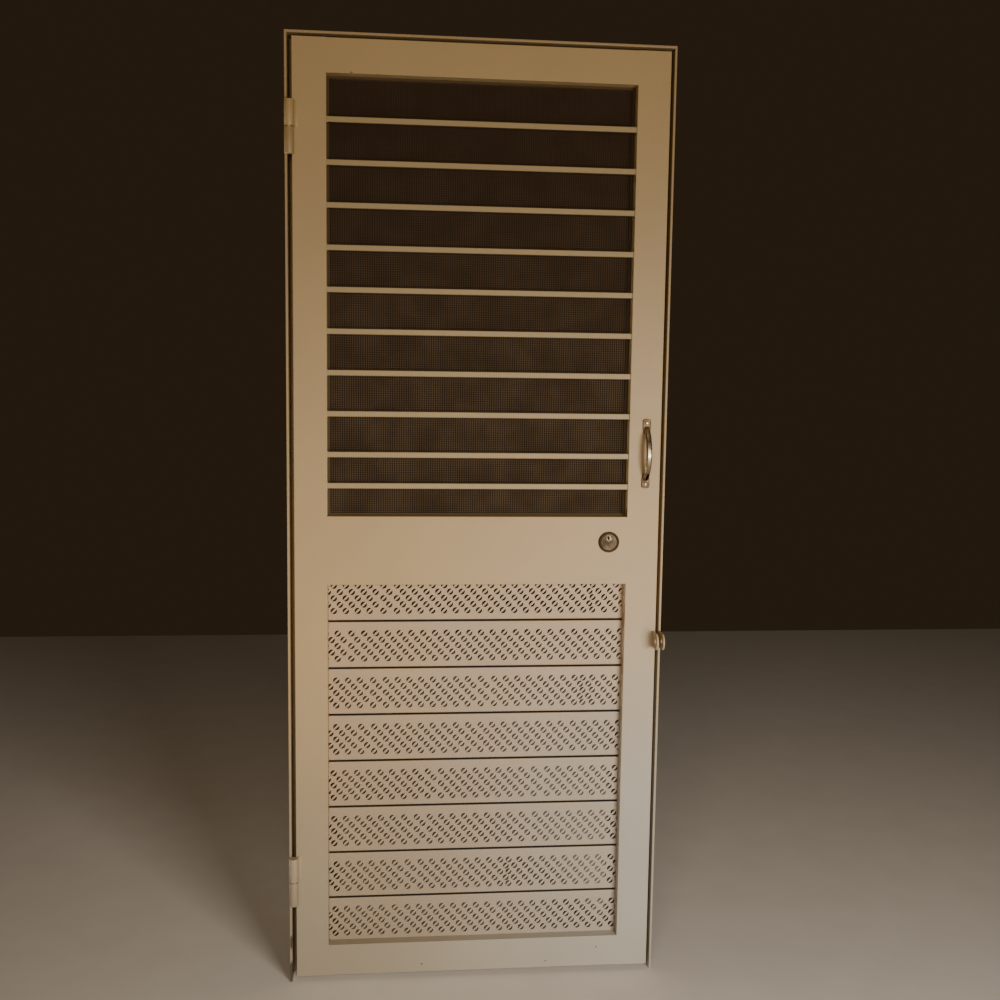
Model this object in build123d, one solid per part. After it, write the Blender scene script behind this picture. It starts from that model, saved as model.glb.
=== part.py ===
from build123d import *
import math
import os

# Steel screen door: a leaf of welded tube with guard bars before a fly mesh above,
# folded planks below, hung on weld-on hinges in a three-sided frame of steel angle.
# Millimetres. +X runs from the hinge jamb to the lock jamb, +Y from the face to the back,
# +Z up. The origin is on the outer face of the hinge jamb, at floor level, half way
# through the jamb's depth.

# Frame of steel angle
frame_width = 840.0
frame_height = 2100.0
angle_leg = 50.0
angle_thickness = 5.0
angle_root_radius = 5.0
angle_toe_radius = 2.0

# Gaps round the leaf
hinge_gap = 10.0
lock_gap = 7.0
head_gap = 7.0
floor_gap = 13.0

# Leaf frame of steel tube
leaf_depth = 40.0
tube_wall = 1.5
tube_corner_radius = 1.2
stile_width = 72.0
top_rail_height = 72.0
bottom_rail_height = 72.0
mid_rail_height = 153.0
mid_rail_bottom = 908.0
end_plate_thickness = 2.0
end_plate_clearance = 0.2

# Guard bars across the upper opening
bar_size = 12.0
bar_edge_chamfer = 1.0
bar_recess = 3.0
bar_pitch = 89.0
first_bar_drop = 94.0
last_bar_rise = 67.5
closest_bar_pitch = 60.0

# Mesh screen in its channel frame, inside the upper opening
channel_width = 5.0
channel_depth = 12.0
channel_recess = 26.0
channel_slot_depth = 3.5
mesh_thickness = 0.8
mesh_slot_clearance = 0.1
mesh_edge_clearance = 0.5
mesh_layer_gap = 0.1
mesh_strips_across = 12
mesh_strips_down = 17
mesh_gap_share = 0.42

# Folded planks in the lower opening
plank_pitch = 107.9
plank_joint = 2.5
top_plank_height = 87.0
plank_sheet = 1.2
plank_recess = 26.0
plank_bend_radius = 4.0
plank_corner_radius = 5.0
plank_end_clearance = 0.3
cleat_width = 22.0
cleat_thickness = 3.0

# Slots that stand for each plank's diagonal runs of small punched holes
slots_across = 8
slot_width = 15.0
slot_height = 70.0
slot_lean = 65.0
slot_centre_drop = 56.0
slot_margin = 2.0

# Weld-on hinges
hinge_length = 110.0
barrel_radius = 10.0
pin_radius = 6.0
pin_clearance = 0.05
pin_reach = 44.0
pin_end_gap = 1.0
washer_thickness = 1.5
washer_gap = 0.3
weld_leg = 12.0
upper_hinge_drop = 187.0
lower_hinge_rise = 230.0

# Padlock lugs
lug_height = 37.0
lug_thickness = 4.0
lug_reach = 50.0
lug_hole_radius = 6.5
lug_edge_inset = 7.0
lug_centre_height = 781.0

# Pull handle
handle_length = 156.0
handle_screw_pitch = 137.0
pad_width = 18.5
pad_length = 21.0
pad_taper_length = 13.0
pad_thickness = 3.0
pad_corner_radius = 3.0
pad_end_bulge = 1.5
grip_width = 12.0
grip_thickness = 8.0
grip_front_chamfer = 2.6
grip_back_chamfer = 1.5
grip_reach = 37.0
handle_inset = 33.0
handle_centre_height = 1204.0
screw_radius = 2.0
screw_head_radius = 4.0
screw_head_top_radius = 2.4
screw_head_height = 2.0
screw_clearance = 0.2
screw_length = 16.0

# Rim lock: ring and cylinder on the face, case on the back
lock_inset = 113.0
lock_centre_height = 1004.0
ring_radius = 23.5
ring_height = 5.0
ring_bevel = 2.2
ring_lip = 3.4
cylinder_face_radius = 17.5
cylinder_body_radius = 16.5
cylinder_face_height = 4.0
cylinder_clearance = 0.3
plug_radius = 6.0
plug_offset = 8.6
plug_length = 30.0
plug_proud = 0.6
plug_clearance = 0.05
plug_end_gap = 0.5
keyway_width = 2.4
keyway_height = 9.0
keyway_depth = 24.0
case_width = 116.0
case_height = 88.0
case_depth = 28.0
case_edge_radius = 3.0
case_backset = 60.0
case_drop = 8.0
bolt_height = 22.0
bolt_thickness = 10.0
bolt_length = 40.0
bolt_clearance = 0.3
bolt_frame_gap = 2.0

# Planes and places worked out from the sizes above
face_y = -angle_leg / 2
back_y = face_y + leaf_depth
leaf_left = angle_thickness + hinge_gap
leaf_right = frame_width - angle_thickness - lock_gap
leaf_bottom = floor_gap
leaf_top = frame_height - angle_thickness - head_gap
leaf_mid_y = (face_y + back_y) / 2
opening_left = leaf_left + stile_width
opening_right = leaf_right - stile_width
upper_top = leaf_top - top_rail_height
upper_bottom = leaf_bottom + mid_rail_bottom + mid_rail_height
lower_top = leaf_bottom + mid_rail_bottom
lower_bottom = leaf_bottom + bottom_rail_height
opening_width = opening_right - opening_left
opening_mid_x = (opening_left + opening_right) / 2
lock_x = leaf_right - lock_inset
lock_z = leaf_bottom + lock_centre_height
handle_x = leaf_right - handle_inset
handle_z = leaf_bottom + handle_centre_height
channel_front = face_y + channel_recess
hinge_x = (angle_thickness + leaf_left) / 2
hinge_y = face_y - barrel_radius


def save(node, shape):
    """Write one node's solids to its own file."""
    export_step(shape, os.path.join("parts", node + ".step"))


def block(x_range, y_range, z_range):
    """A plain box between two corners."""
    sizes = [high - low for low, high in (x_range, y_range, z_range)]
    centre = [(low + high) / 2 for low, high in (x_range, y_range, z_range)]
    return Pos(*centre) * Box(*sizes)


def vertex_at(sketch, x, y):
    """The vertex of a flat sketch that lies nearest a point."""
    return sketch.vertices().sort_by_distance(Vector(x, y, 0))[0]


# Frame

def angle_profile():
    """Section of the angle: x from its outer face inwards, y from its front edge to the back."""
    leg = angle_leg
    wall = angle_thickness
    outline = Polyline((0, 0), (wall, 0), (wall, leg - wall), (leg, leg - wall), (leg, leg), (0, leg), close=True)
    section = make_face(outline)
    section = fillet([vertex_at(section, wall, leg - wall)], angle_root_radius)
    toes = [vertex_at(section, wall, 0), vertex_at(section, leg, leg - wall)]
    return fillet(toes, angle_toe_radius)


def make_hinge_jamb():
    """Upright angle with its top mitred to the head."""
    bar = Pos(0, face_y, 0) * extrude(angle_profile(), frame_height)
    mitre = Plane(origin=(0, 0, frame_height), z_dir=(1, 0, 1))
    return split(bar, bisect_by=mitre, keep=Keep.BOTTOM)


def make_lock_jamb():
    """The hinge jamb's mirror image, across the opening."""
    return mirror(make_hinge_jamb(), about=Plane(origin=(frame_width / 2, 0, 0), z_dir=(1, 0, 0)))


def make_head():
    """Angle across the top, mitred to both jambs."""
    across = Plane(origin=(0, face_y, frame_height), x_dir=(0, 0, -1), z_dir=(1, 0, 0))
    bar = extrude(across * angle_profile(), frame_width)
    left_mitre = Plane(origin=(0, 0, frame_height), z_dir=(1, 0, 1))
    right_mitre = Plane(origin=(frame_width, 0, frame_height), z_dir=(-1, 0, 1))
    bar = split(bar, bisect_by=left_mitre, keep=Keep.TOP)
    return split(bar, bisect_by=right_mitre, keep=Keep.TOP)


# Leaf frame

def tube_section(width, depth):
    """Hollow section with rounded outer corners, centred on the origin."""
    outside = RectangleRounded(width, depth, tube_corner_radius)
    inside = Rectangle(width - 2 * tube_wall, depth - 2 * tube_wall)
    return outside - inside


def make_stile(left):
    """Upright tube, from the leaf's bottom to its top."""
    centre = Pos(left + stile_width / 2, leaf_mid_y, leaf_bottom)
    return centre * extrude(tube_section(stile_width, leaf_depth), leaf_top - leaf_bottom)


def make_rail(bottom, height):
    """Level tube between the stiles."""
    across = Plane(origin=(opening_left, leaf_mid_y, bottom + height / 2), x_dir=(0, 1, 0), z_dir=(1, 0, 0))
    return extrude(across * tube_section(leaf_depth, height), opening_width)


def make_mid_rail():
    """Deep rail with the hole that the lock cylinder passes through."""
    hole = Plane(origin=(lock_x, leaf_mid_y, lock_z), z_dir=(0, 1, 0))
    drill = hole * Cylinder(cylinder_body_radius + cylinder_clearance, 2 * leaf_depth)
    return make_rail(lower_top, mid_rail_height) - drill


def make_stile_end_plates():
    """Plates that close both ends of each stile, inside the tube."""
    width = stile_width - 2 * tube_wall - 2 * end_plate_clearance
    depth = leaf_depth - 2 * tube_wall - 2 * end_plate_clearance
    plates = []
    for left in (leaf_left, opening_right):
        for middle in (leaf_bottom + end_plate_thickness / 2, leaf_top - end_plate_thickness / 2):
            plates.append(Pos(left + stile_width / 2, leaf_mid_y, middle) * Box(width, depth, end_plate_thickness))
    return Compound(children=plates)


# Guard bars

def bar_heights():
    """Centre heights of the guard bars: even steps from the top, then a last one near the mid rail."""
    last = upper_bottom + last_bar_rise
    heights = []
    height = upper_top - first_bar_drop
    while height >= last + closest_bar_pitch:
        heights.append(height)
        height -= bar_pitch
    return heights + [last]


def make_bar(height):
    """One square bar with eased edges, welded between the stiles."""
    across = Plane(
        origin=(opening_left, face_y + bar_recess + bar_size / 2, height), x_dir=(0, 1, 0), z_dir=(1, 0, 0)
    )
    square = Rectangle(bar_size, bar_size)
    return extrude(across * chamfer(square.vertices(), bar_edge_chamfer), opening_width)


# Mesh screen

def channel_profile():
    """Channel section: x from its inner lip outwards, y its depth, with the slot for the mesh."""
    slot_width = mesh_thickness + 2 * mesh_slot_clearance
    outside = Pos(channel_width / 2, channel_depth / 2) * Rectangle(channel_width, channel_depth)
    slot = Pos(channel_slot_depth / 2, channel_depth / 2) * Rectangle(channel_slot_depth, slot_width)
    return outside - slot


def make_mesh_stiles():
    """Upright channels, welded to the inner side of each stile."""
    slot_side = opening_left + channel_width
    height = upper_top - upper_bottom
    foot = Plane(origin=(slot_side, channel_front, upper_bottom), x_dir=(-1, 0, 0), z_dir=(0, 0, -1))
    left = extrude(foot * channel_profile(), -height)
    right = mirror(left, about=Plane(origin=(opening_mid_x, 0, 0), z_dir=(1, 0, 0)))
    return Compound(children=[left, right])


def make_mesh_rails():
    """Level channels between the upright ones."""
    start = opening_left + channel_width
    length = opening_width - 2 * channel_width
    upper_plane = Plane(origin=(start, channel_front, upper_top - channel_width), x_dir=(0, 0, 1), z_dir=(-1, 0, 0))
    lower_plane = Plane(origin=(start, channel_front, upper_bottom + channel_width), x_dir=(0, 0, -1), z_dir=(1, 0, 0))
    upper = extrude(upper_plane * channel_profile(), -length)
    lower = extrude(lower_plane * channel_profile(), length)
    return Compound(children=[upper, lower])


def strip_ranges(low, high, count):
    """Ends of evenly spaced strips that fill a width, each with the same gap to the next."""
    pitch = (high - low) / (count - mesh_gap_share)
    width = (1 - mesh_gap_share) * pitch
    return [(low + index * pitch, low + index * pitch + width) for index in range(count)]


def make_mesh_screen():
    """Upright strips before level ones, which stand for the two yarns of the woven mesh."""
    edge = channel_width - channel_slot_depth + mesh_edge_clearance
    middle = channel_front + channel_depth / 2
    left, right = opening_left + edge, opening_right - edge
    bottom, top = upper_bottom + edge, upper_top - edge
    front = (middle - mesh_thickness / 2, middle - mesh_layer_gap / 2)
    back = (middle + mesh_layer_gap / 2, middle + mesh_thickness / 2)
    strips = [block(across, front, (bottom, top)) for across in strip_ranges(left, right, mesh_strips_across)]
    strips += [block((left, right), back, height) for height in strip_ranges(bottom, top, mesh_strips_down)]
    return Compound(children=strips)


# Planks

def plank_spans():
    """Bottom and top of each plank, from the top down. The first and last are cut to the opening."""
    spans = []
    top = lower_top
    joint = lower_top - top_plank_height
    while joint > lower_bottom:
        spans.append((joint + plank_joint / 2, top))
        top = joint - plank_joint / 2
        joint -= plank_pitch
    spans.append((lower_bottom, top))
    return spans


def make_plank(bottom, top):
    """Sheet with its edges bent back, or a plain cut edge where the plank meets a rail."""
    front = face_y + plank_recess
    back = back_y - cleat_thickness
    skin = front + plank_sheet
    bends = []
    if bottom > lower_bottom:
        lower_edge = [(skin, bottom + plank_sheet), (back, bottom + plank_sheet), (back, bottom), (front, bottom)]
        bends.append((lower_edge[0], plank_bend_radius - plank_sheet))
        bends.append((lower_edge[3], plank_bend_radius))
    else:
        lower_edge = [(skin, bottom), (front, bottom)]
    if top < lower_top:
        upper_edge = [(front, top), (back, top), (back, top - plank_sheet), (skin, top - plank_sheet)]
        bends.append((upper_edge[0], plank_bend_radius))
        bends.append((upper_edge[3], plank_bend_radius - plank_sheet))
    else:
        upper_edge = [(front, top), (skin, top)]
    section = make_face(Polyline(*lower_edge, *upper_edge, close=True))
    for corner, radius in bends:
        section = fillet([vertex_at(section, *corner)], radius)
    start = opening_left + plank_end_clearance
    across = Plane(origin=(start, 0, 0), x_dir=(0, 1, 0), z_dir=(1, 0, 0))
    plank = extrude(across * section, opening_width - 2 * plank_end_clearance)
    if bottom == lower_bottom:
        corners = plank.edges().filter_by(Axis.Y).group_by(Axis.Z)[0]
        plank = fillet(corners, plank_corner_radius)
    return plank - plank_slots(bottom, top)


def plank_slots(bottom, top):
    """Leaning slots through the plank's flat front, clear of its bends and its cleats."""
    full_top = top if top < lower_top else bottom + plank_pitch - plank_joint
    middle = full_top - slot_centre_drop
    edge = plank_bend_radius + slot_margin
    low = max(middle - slot_height / 2, bottom + edge)
    high = min(middle + slot_height / 2, top - edge)
    lean = slot_lean * (high - low) / slot_height
    first = opening_left + cleat_width + slot_margin
    last = opening_right - cleat_width - slot_margin - lean - slot_width
    step = (last - first) / (slots_across - 1)
    outline = Polyline((0, low), (slot_width, low), (slot_width + lean, high), (lean, high), close=True)
    upright = Plane(origin=(first, face_y + plank_recess, 0), x_dir=(1, 0, 0), z_dir=(0, -1, 0))
    slot = extrude(upright * make_face(outline), 2 * plank_sheet, both=True)
    return [Pos(index * step, 0, 0) * slot for index in range(slots_across)]


def make_plank_cleats():
    """Flat strips on the stiles that the planks' bent edges rest on from the front."""
    depth = (back_y - cleat_thickness, back_y)
    height = (lower_bottom, lower_top)
    left = block((opening_left, opening_left + cleat_width), depth, height)
    right = block((opening_right - cleat_width, opening_right), depth, height)
    return Compound(children=[left, right])


# Hinges

def weld_bead(root_x, toe_x, low, high):
    """Hollow-faced bead in the corner between the barrel and the steel face behind it."""
    side = math.copysign(1, toe_x - hinge_x)
    edge_x = hinge_x + side * barrel_radius * math.cos(math.radians(10))
    edge_y = hinge_y + barrel_radius * math.sin(math.radians(10))
    hollow = ((edge_x + toe_x) / 2 - side * weld_leg * 0.12, (edge_y + face_y) / 2 + weld_leg * 0.12)
    bead = Line((root_x, face_y), (toe_x, face_y))
    bead += ThreePointArc((toe_x, face_y), hollow, (edge_x, edge_y))
    bead += Line((edge_x, edge_y), (hinge_x, hinge_y))
    bead += Line((hinge_x, hinge_y), (root_x, face_y))
    return Pos(0, 0, low) * extrude(make_face(bead), high - low)


def make_hinge_pin_half(centre):
    """Lower half, welded to the jamb, with its fixed pin."""
    low = centre - hinge_length / 2
    high = centre - washer_thickness / 2
    barrel = Pos(hinge_x, hinge_y, (low + high) / 2) * Cylinder(barrel_radius, high - low)
    pin = Pos(hinge_x, hinge_y, (high + centre + pin_reach) / 2) * Cylinder(pin_radius, centre + pin_reach - high)
    bead = weld_bead(angle_thickness, 0, low, high)
    return barrel + pin + bead


def make_hinge_leaf_half(centre):
    """Upper half, welded to the leaf, with a blind bore over the pin."""
    low = centre + washer_thickness / 2 + washer_gap
    high = centre + hinge_length / 2
    bore_top = centre + pin_reach + pin_end_gap
    barrel = Pos(hinge_x, hinge_y, (low + high) / 2) * Cylinder(barrel_radius, high - low)
    bead = weld_bead(leaf_left, leaf_left + weld_leg, low, high)
    bore = Pos(hinge_x, hinge_y, (low + bore_top) / 2) * Cylinder(pin_radius + pin_clearance, bore_top - low)
    return barrel + bead - bore


def make_hinge_washers():
    """Thrust washer on each pin, on top of its lower half."""
    washers = []
    for centre in hinge_centres:
        ring = Cylinder(barrel_radius, washer_thickness) - Cylinder(pin_radius + pin_clearance, 2 * washer_thickness)
        washers.append(Pos(hinge_x, hinge_y, centre) * ring)
    return Compound(children=washers)


# Padlock lugs

def make_lug(left):
    """Round-nosed plate that stands out of the face, with a hole for a padlock's shackle."""
    nose = lug_height / 2
    straight = lug_reach - nose
    plate = Pos(-straight / 2, 0) * Rectangle(straight, lug_height)
    plate += Pos(-straight, 0) * Circle(nose)
    plate -= Pos(-straight, 0) * Circle(lug_hole_radius)
    upright = Plane(origin=(left, face_y, leaf_bottom + lug_centre_height), x_dir=(0, 1, 0), z_dir=(1, 0, 0))
    return extrude(upright * plate, lug_thickness)


# Pull handle

def grip_section():
    """Section of the grip: well eased towards the hand, less at the back. Its y points at the leaf."""
    section = Rectangle(grip_width, grip_thickness)
    section = chamfer(section.vertices().group_by(Axis.Y)[0], grip_front_chamfer)
    return chamfer(section.vertices().group_by(Axis.Y)[-1], grip_back_chamfer)


def make_grip():
    """Arched grip, turned from pad to pad, with its feet cut flush with the leaf's face."""
    half_span = handle_length / 2 - pad_length
    crown = grip_reach - grip_thickness / 2
    rise = crown - pad_thickness / 2
    arch_radius = (half_span ** 2 + rise ** 2) / (2 * rise)
    half_turn = math.degrees(math.asin(half_span / arch_radius) + grip_thickness / arch_radius)
    centre_line = Axis((handle_x, face_y - crown + arch_radius, handle_z), (1, 0, 0))
    across = Plane(origin=(handle_x, face_y - crown, handle_z), x_dir=(1, 0, 0), z_dir=(0, 0, 1))
    section = (across * grip_section()).rotate(centre_line, -half_turn)
    outside = block(
        (handle_x - pad_width, handle_x + pad_width),
        (face_y - 2 * grip_reach, face_y),
        (handle_z - handle_length, handle_z + handle_length),
    )
    return revolve(section, centre_line, 2 * half_turn) & outside


def make_pad(side):
    """One flat pad, with a slightly round outer end and an inner end drawn in to the grip's width."""
    half_width = pad_width / 2
    half_grip = grip_width / 2
    outer_end = handle_length / 2
    shoulder = outer_end - pad_length
    inner_end = shoulder - pad_taper_length
    corner = outer_end - pad_end_bulge
    outline = Polyline(
        (half_width, corner), (half_width, shoulder), (half_grip, inner_end),
        (-half_grip, inner_end), (-half_width, shoulder), (-half_width, corner),
    )
    outline += ThreePointArc((-half_width, corner), (0, outer_end), (half_width, corner))
    plate = make_face(outline)
    plate = fillet([vertex_at(plate, half_width, corner), vertex_at(plate, -half_width, corner)], pad_corner_radius)
    upright = Plane(origin=(handle_x, face_y, handle_z), x_dir=(side, 0, 0), z_dir=(0, -1, 0))
    return extrude(upright * plate, pad_thickness)


def make_pull_handle():
    """Arched grip on two flat pads with screw holes."""
    handle = make_grip() + make_pad(1) + make_pad(-1)
    hole_depth = 2 * (pad_thickness + grip_thickness)
    for side in (-1, 1):
        front = Plane(origin=(handle_x, face_y, handle_z + side * handle_screw_pitch / 2), z_dir=(0, -1, 0))
        handle -= front * Cylinder(screw_radius + screw_clearance, hole_depth)
    return handle


def make_handle_screws():
    """Raised-head screws through the pads and the front wall of the lock stile."""
    screws = []
    for side in (-1, 1):
        seat = Plane(
            origin=(handle_x, face_y - pad_thickness, handle_z + side * handle_screw_pitch / 2), z_dir=(0, -1, 0)
        )
        shank = Pos(0, 0, -screw_length / 2) * Cylinder(screw_radius, screw_length)
        head = Pos(0, 0, screw_head_height / 2) * Cone(screw_head_radius, screw_head_top_radius, screw_head_height)
        screws.append(seat * (shank + head))
    return Compound(children=screws)


def make_lock_stile():
    """Stile on the lock side, with the handle's screw holes in its front wall."""
    stile = make_stile(opening_right)
    for side in (-1, 1):
        spot = Plane(origin=(handle_x, face_y, handle_z + side * handle_screw_pitch / 2), z_dir=(0, -1, 0))
        stile -= spot * Cylinder(screw_radius + screw_clearance, 4 * tube_wall)
    return stile


# Rim lock

def lock_turn(points):
    """Solid of revolution about the lock's centre line, from radius and height out of the face."""
    turning = Plane(origin=(lock_x, face_y, lock_z), x_dir=(1, 0, 0), z_dir=(0, 0, 1))
    flat = [(radius, -height) for radius, height in points]
    section = turning * make_face(Polyline(*flat, close=True))
    return revolve(section, Axis((lock_x, face_y, lock_z), (0, 1, 0)))


def make_lock_ring():
    """Bevelled ring round the cylinder, dished towards it."""
    inner = cylinder_face_radius + cylinder_clearance
    return lock_turn([
        (inner, 0),
        (ring_radius, 0),
        (ring_radius, ring_height - ring_bevel),
        (ring_radius - ring_bevel, ring_height),
        (inner, ring_lip),
    ])


def plug_plane():
    """Plane across the key plug's axis, on the cylinder's face, looking out."""
    return Plane(
        origin=(lock_x, face_y - cylinder_face_height, lock_z + plug_offset), x_dir=(1, 0, 0), z_dir=(0, -1, 0)
    )


def make_lock_cylinder():
    """Round lock cylinder through the mid rail, with the bore for its plug."""
    tail = -leaf_depth
    body = lock_turn([
        (0, tail),
        (cylinder_body_radius, tail),
        (cylinder_body_radius, 0),
        (cylinder_face_radius, 0),
        (cylinder_face_radius, cylinder_face_height),
        (0, cylinder_face_height),
    ])
    bore_depth = plug_length - plug_proud + plug_end_gap
    bore = plug_plane() * (Pos(0, 0, -bore_depth / 2 + 1) * Cylinder(plug_radius + plug_clearance, bore_depth + 2))
    return body - bore


def make_key_plug():
    """Turning plug with its keyway."""
    plug = Pos(0, 0, plug_proud - plug_length / 2) * Cylinder(plug_radius, plug_length)
    slot = Pos(0, 0, plug_proud - keyway_depth / 2 + 1) * Box(keyway_width, keyway_height, keyway_depth + 2)
    return plug_plane() * (plug - slot)


def case_box():
    """Left, right, bottom and top of the lock case."""
    right = lock_x + case_backset
    middle = lock_z - case_drop
    return right - case_width, right, middle - case_height / 2, middle + case_height / 2


def bolt_block(clearance):
    """The drawn-back bolt, flush with the case, deep enough to shoot past behind the frame's flange."""
    left, right, bottom, top = case_box()
    middle = (bottom + top) / 2
    front = face_y + angle_leg + bolt_frame_gap
    return block(
        (right - bolt_length - clearance, right + 2 * clearance),
        (front - clearance, front + bolt_thickness + clearance),
        (middle - bolt_height / 2 - clearance, middle + bolt_height / 2 + clearance),
    )


def make_lock_case():
    """Closed case on the back of the mid rail, with the mouth that the bolt leaves by."""
    left, right, bottom, top = case_box()
    case = block((left, right), (back_y, back_y + case_depth), (bottom, top))
    rim = case.edges().filter_by(Axis.Y, reverse=True).group_by(Axis.Y)[-1]
    return fillet(rim, case_edge_radius) - bolt_block(bolt_clearance)


hinge_centres = (leaf_top - upper_hinge_drop, leaf_bottom + lower_hinge_rise)

save("hinge_jamb", make_hinge_jamb())
save("lock_jamb", make_lock_jamb())
save("head", make_head())
save("hinge_stile", make_stile(leaf_left))
save("lock_stile", make_lock_stile())
save("top_rail", make_rail(upper_top, top_rail_height))
save("mid_rail", make_mid_rail())
save("bottom_rail", make_rail(leaf_bottom, bottom_rail_height))
save("stile_end_plates", make_stile_end_plates())
for index, height in enumerate(bar_heights(), start=1):
    save(f"guard_bar_{index:02d}", make_bar(height))
save("mesh_channel_stiles", make_mesh_stiles())
save("mesh_channel_rails", make_mesh_rails())
save("mesh_screen", make_mesh_screen())
for index, (bottom, top) in enumerate(plank_spans(), start=1):
    save(f"plank_{index}", make_plank(bottom, top))
save("plank_cleats", make_plank_cleats())
for place, centre in zip(("upper", "lower"), hinge_centres):
    save(f"{place}_hinge_pin_half", make_hinge_pin_half(centre))
    save(f"{place}_hinge_leaf_half", make_hinge_leaf_half(centre))
save("hinge_washers", make_hinge_washers())
save("leaf_padlock_lug", make_lug(leaf_right - lug_edge_inset))
save("frame_padlock_lug", make_lug(frame_width - angle_thickness))
save("pull_handle", make_pull_handle())
save("handle_screws", make_handle_screws())
save("lock_ring", make_lock_ring())
save("lock_cylinder", make_lock_cylinder())
save("key_plug", make_key_plug())
save("lock_case", make_lock_case())
save("lock_bolt", bolt_block(0))
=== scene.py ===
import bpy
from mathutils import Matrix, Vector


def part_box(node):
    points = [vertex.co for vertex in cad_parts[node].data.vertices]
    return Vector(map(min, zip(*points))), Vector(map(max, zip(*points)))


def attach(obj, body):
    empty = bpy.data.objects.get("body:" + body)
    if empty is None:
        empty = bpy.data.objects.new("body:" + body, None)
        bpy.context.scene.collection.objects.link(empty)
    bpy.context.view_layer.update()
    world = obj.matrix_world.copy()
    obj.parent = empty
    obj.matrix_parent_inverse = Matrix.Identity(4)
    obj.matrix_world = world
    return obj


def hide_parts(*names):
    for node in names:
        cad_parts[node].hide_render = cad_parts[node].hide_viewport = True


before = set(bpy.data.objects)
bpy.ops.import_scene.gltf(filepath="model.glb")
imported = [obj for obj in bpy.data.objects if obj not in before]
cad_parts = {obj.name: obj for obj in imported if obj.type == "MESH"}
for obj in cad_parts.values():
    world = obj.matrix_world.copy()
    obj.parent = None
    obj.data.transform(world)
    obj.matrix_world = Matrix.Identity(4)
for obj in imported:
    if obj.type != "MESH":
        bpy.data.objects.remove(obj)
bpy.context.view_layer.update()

import logging
import math
from dataclasses import dataclass, field
from enum import Enum

import bmesh
import bpy
from mathutils import Matrix, Vector

# Steel screen door, seen from its face. X runs from the hinge jamb to the lock jamb, Y from the face to
# the back, Z up. Sizes of the door are in millimetres and become metres by MM where they meet a mesh or
# a node. The studio is in metres.

MM = 0.001

log = logging.getLogger("steel_screen_door")


# Small tools


class Kind(Enum):
    """Kinds of node in the shader and geometry trees."""

    COORDINATES = "ShaderNodeTexCoord"
    NOISE = "ShaderNodeTexNoise"
    RANGE = "ShaderNodeMapRange"
    MIX = "ShaderNodeMix"
    MATH = "ShaderNodeMath"
    VECTOR_MATH = "ShaderNodeVectorMath"
    SEPARATE = "ShaderNodeSeparateXYZ"
    COMBINE = "ShaderNodeCombineXYZ"
    BUMP = "ShaderNodeBump"
    PRINCIPLED = "ShaderNodeBsdfPrincipled"
    SURFACE_OUTPUT = "ShaderNodeOutputMaterial"
    BACKGROUND = "ShaderNodeBackground"
    WORLD_OUTPUT = "ShaderNodeOutputWorld"
    TREE_INPUT = "NodeGroupInput"
    TREE_OUTPUT = "NodeGroupOutput"
    INDEX = "GeometryNodeInputIndex"
    POSITION = "GeometryNodeInputPosition"
    RANDOM = "FunctionNodeRandomValue"
    LINE = "GeometryNodeMeshLine"
    GRID = "GeometryNodeMeshGrid"
    CYLINDER = "GeometryNodeMeshCylinder"
    CIRCLE = "GeometryNodeCurvePrimitiveCircle"
    FOUR_SIDED = "GeometryNodeCurvePrimitiveQuadrilateral"
    FILL = "GeometryNodeFillCurve"
    STORE = "GeometryNodeStoreNamedAttribute"
    STORED = "GeometryNodeInputNamedAttribute"
    DELETE = "GeometryNodeDeleteGeometry"
    TO_POINTS = "GeometryNodeMeshToPoints"
    INSTANCES = "GeometryNodeInstanceOnPoints"
    REALIZE = "GeometryNodeRealizeInstances"
    TRANSFORM = "GeometryNodeTransform"
    SET_POSITION = "GeometryNodeSetPosition"
    SET_MATERIAL = "GeometryNodeSetMaterial"
    JOIN = "GeometryNodeJoinGeometry"
    MERGE = "GeometryNodeMergeByDistance"


def linear(hex_code: str) -> tuple[float, ...]:
    """Turn an sRGB hex colour into the linear colour that shaders work in.

    Args:
        hex_code: Six hex digits, red first.

    Returns:
        Linear red, green, blue and an alpha of one.
    """
    channels = []
    for start in (0, 2, 4):
        value = int(hex_code[start:start + 2], 16) / 255
        channels.append(value / 12.92 if value <= 0.04045 else ((value + 0.055) / 1.055) ** 2.4)
    return (*channels, 1.0)


def per_metre(size: float) -> float:
    """Turn a pattern's size in millimetres into the scale that a texture node takes.

    Args:
        size: Size of one lump or wave in millimetres.

    Returns:
        How many fit into a metre.
    """
    return 1 / (size * MM)


def box_in_mm(node: str) -> tuple[Vector, Vector]:
    """Measure a CAD node at rest.

    Args:
        node: The node's name.

    Returns:
        Its lowest and its highest corner, in millimetres.
    """
    low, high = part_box(node)
    return low / MM, high / MM


def live_socket(sockets: bpy.types.bpy_prop_collection, key: str | int) -> bpy.types.NodeSocket:
    """Find a socket among those that the node's settings leave in use.

    Args:
        sockets: The node's inputs or outputs.
        key: The socket's name, or its number where names repeat.

    Returns:
        The socket.
    """
    if isinstance(key, int):
        return sockets[key]
    return next(socket for socket in sockets if socket.enabled and socket.name == key)


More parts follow.
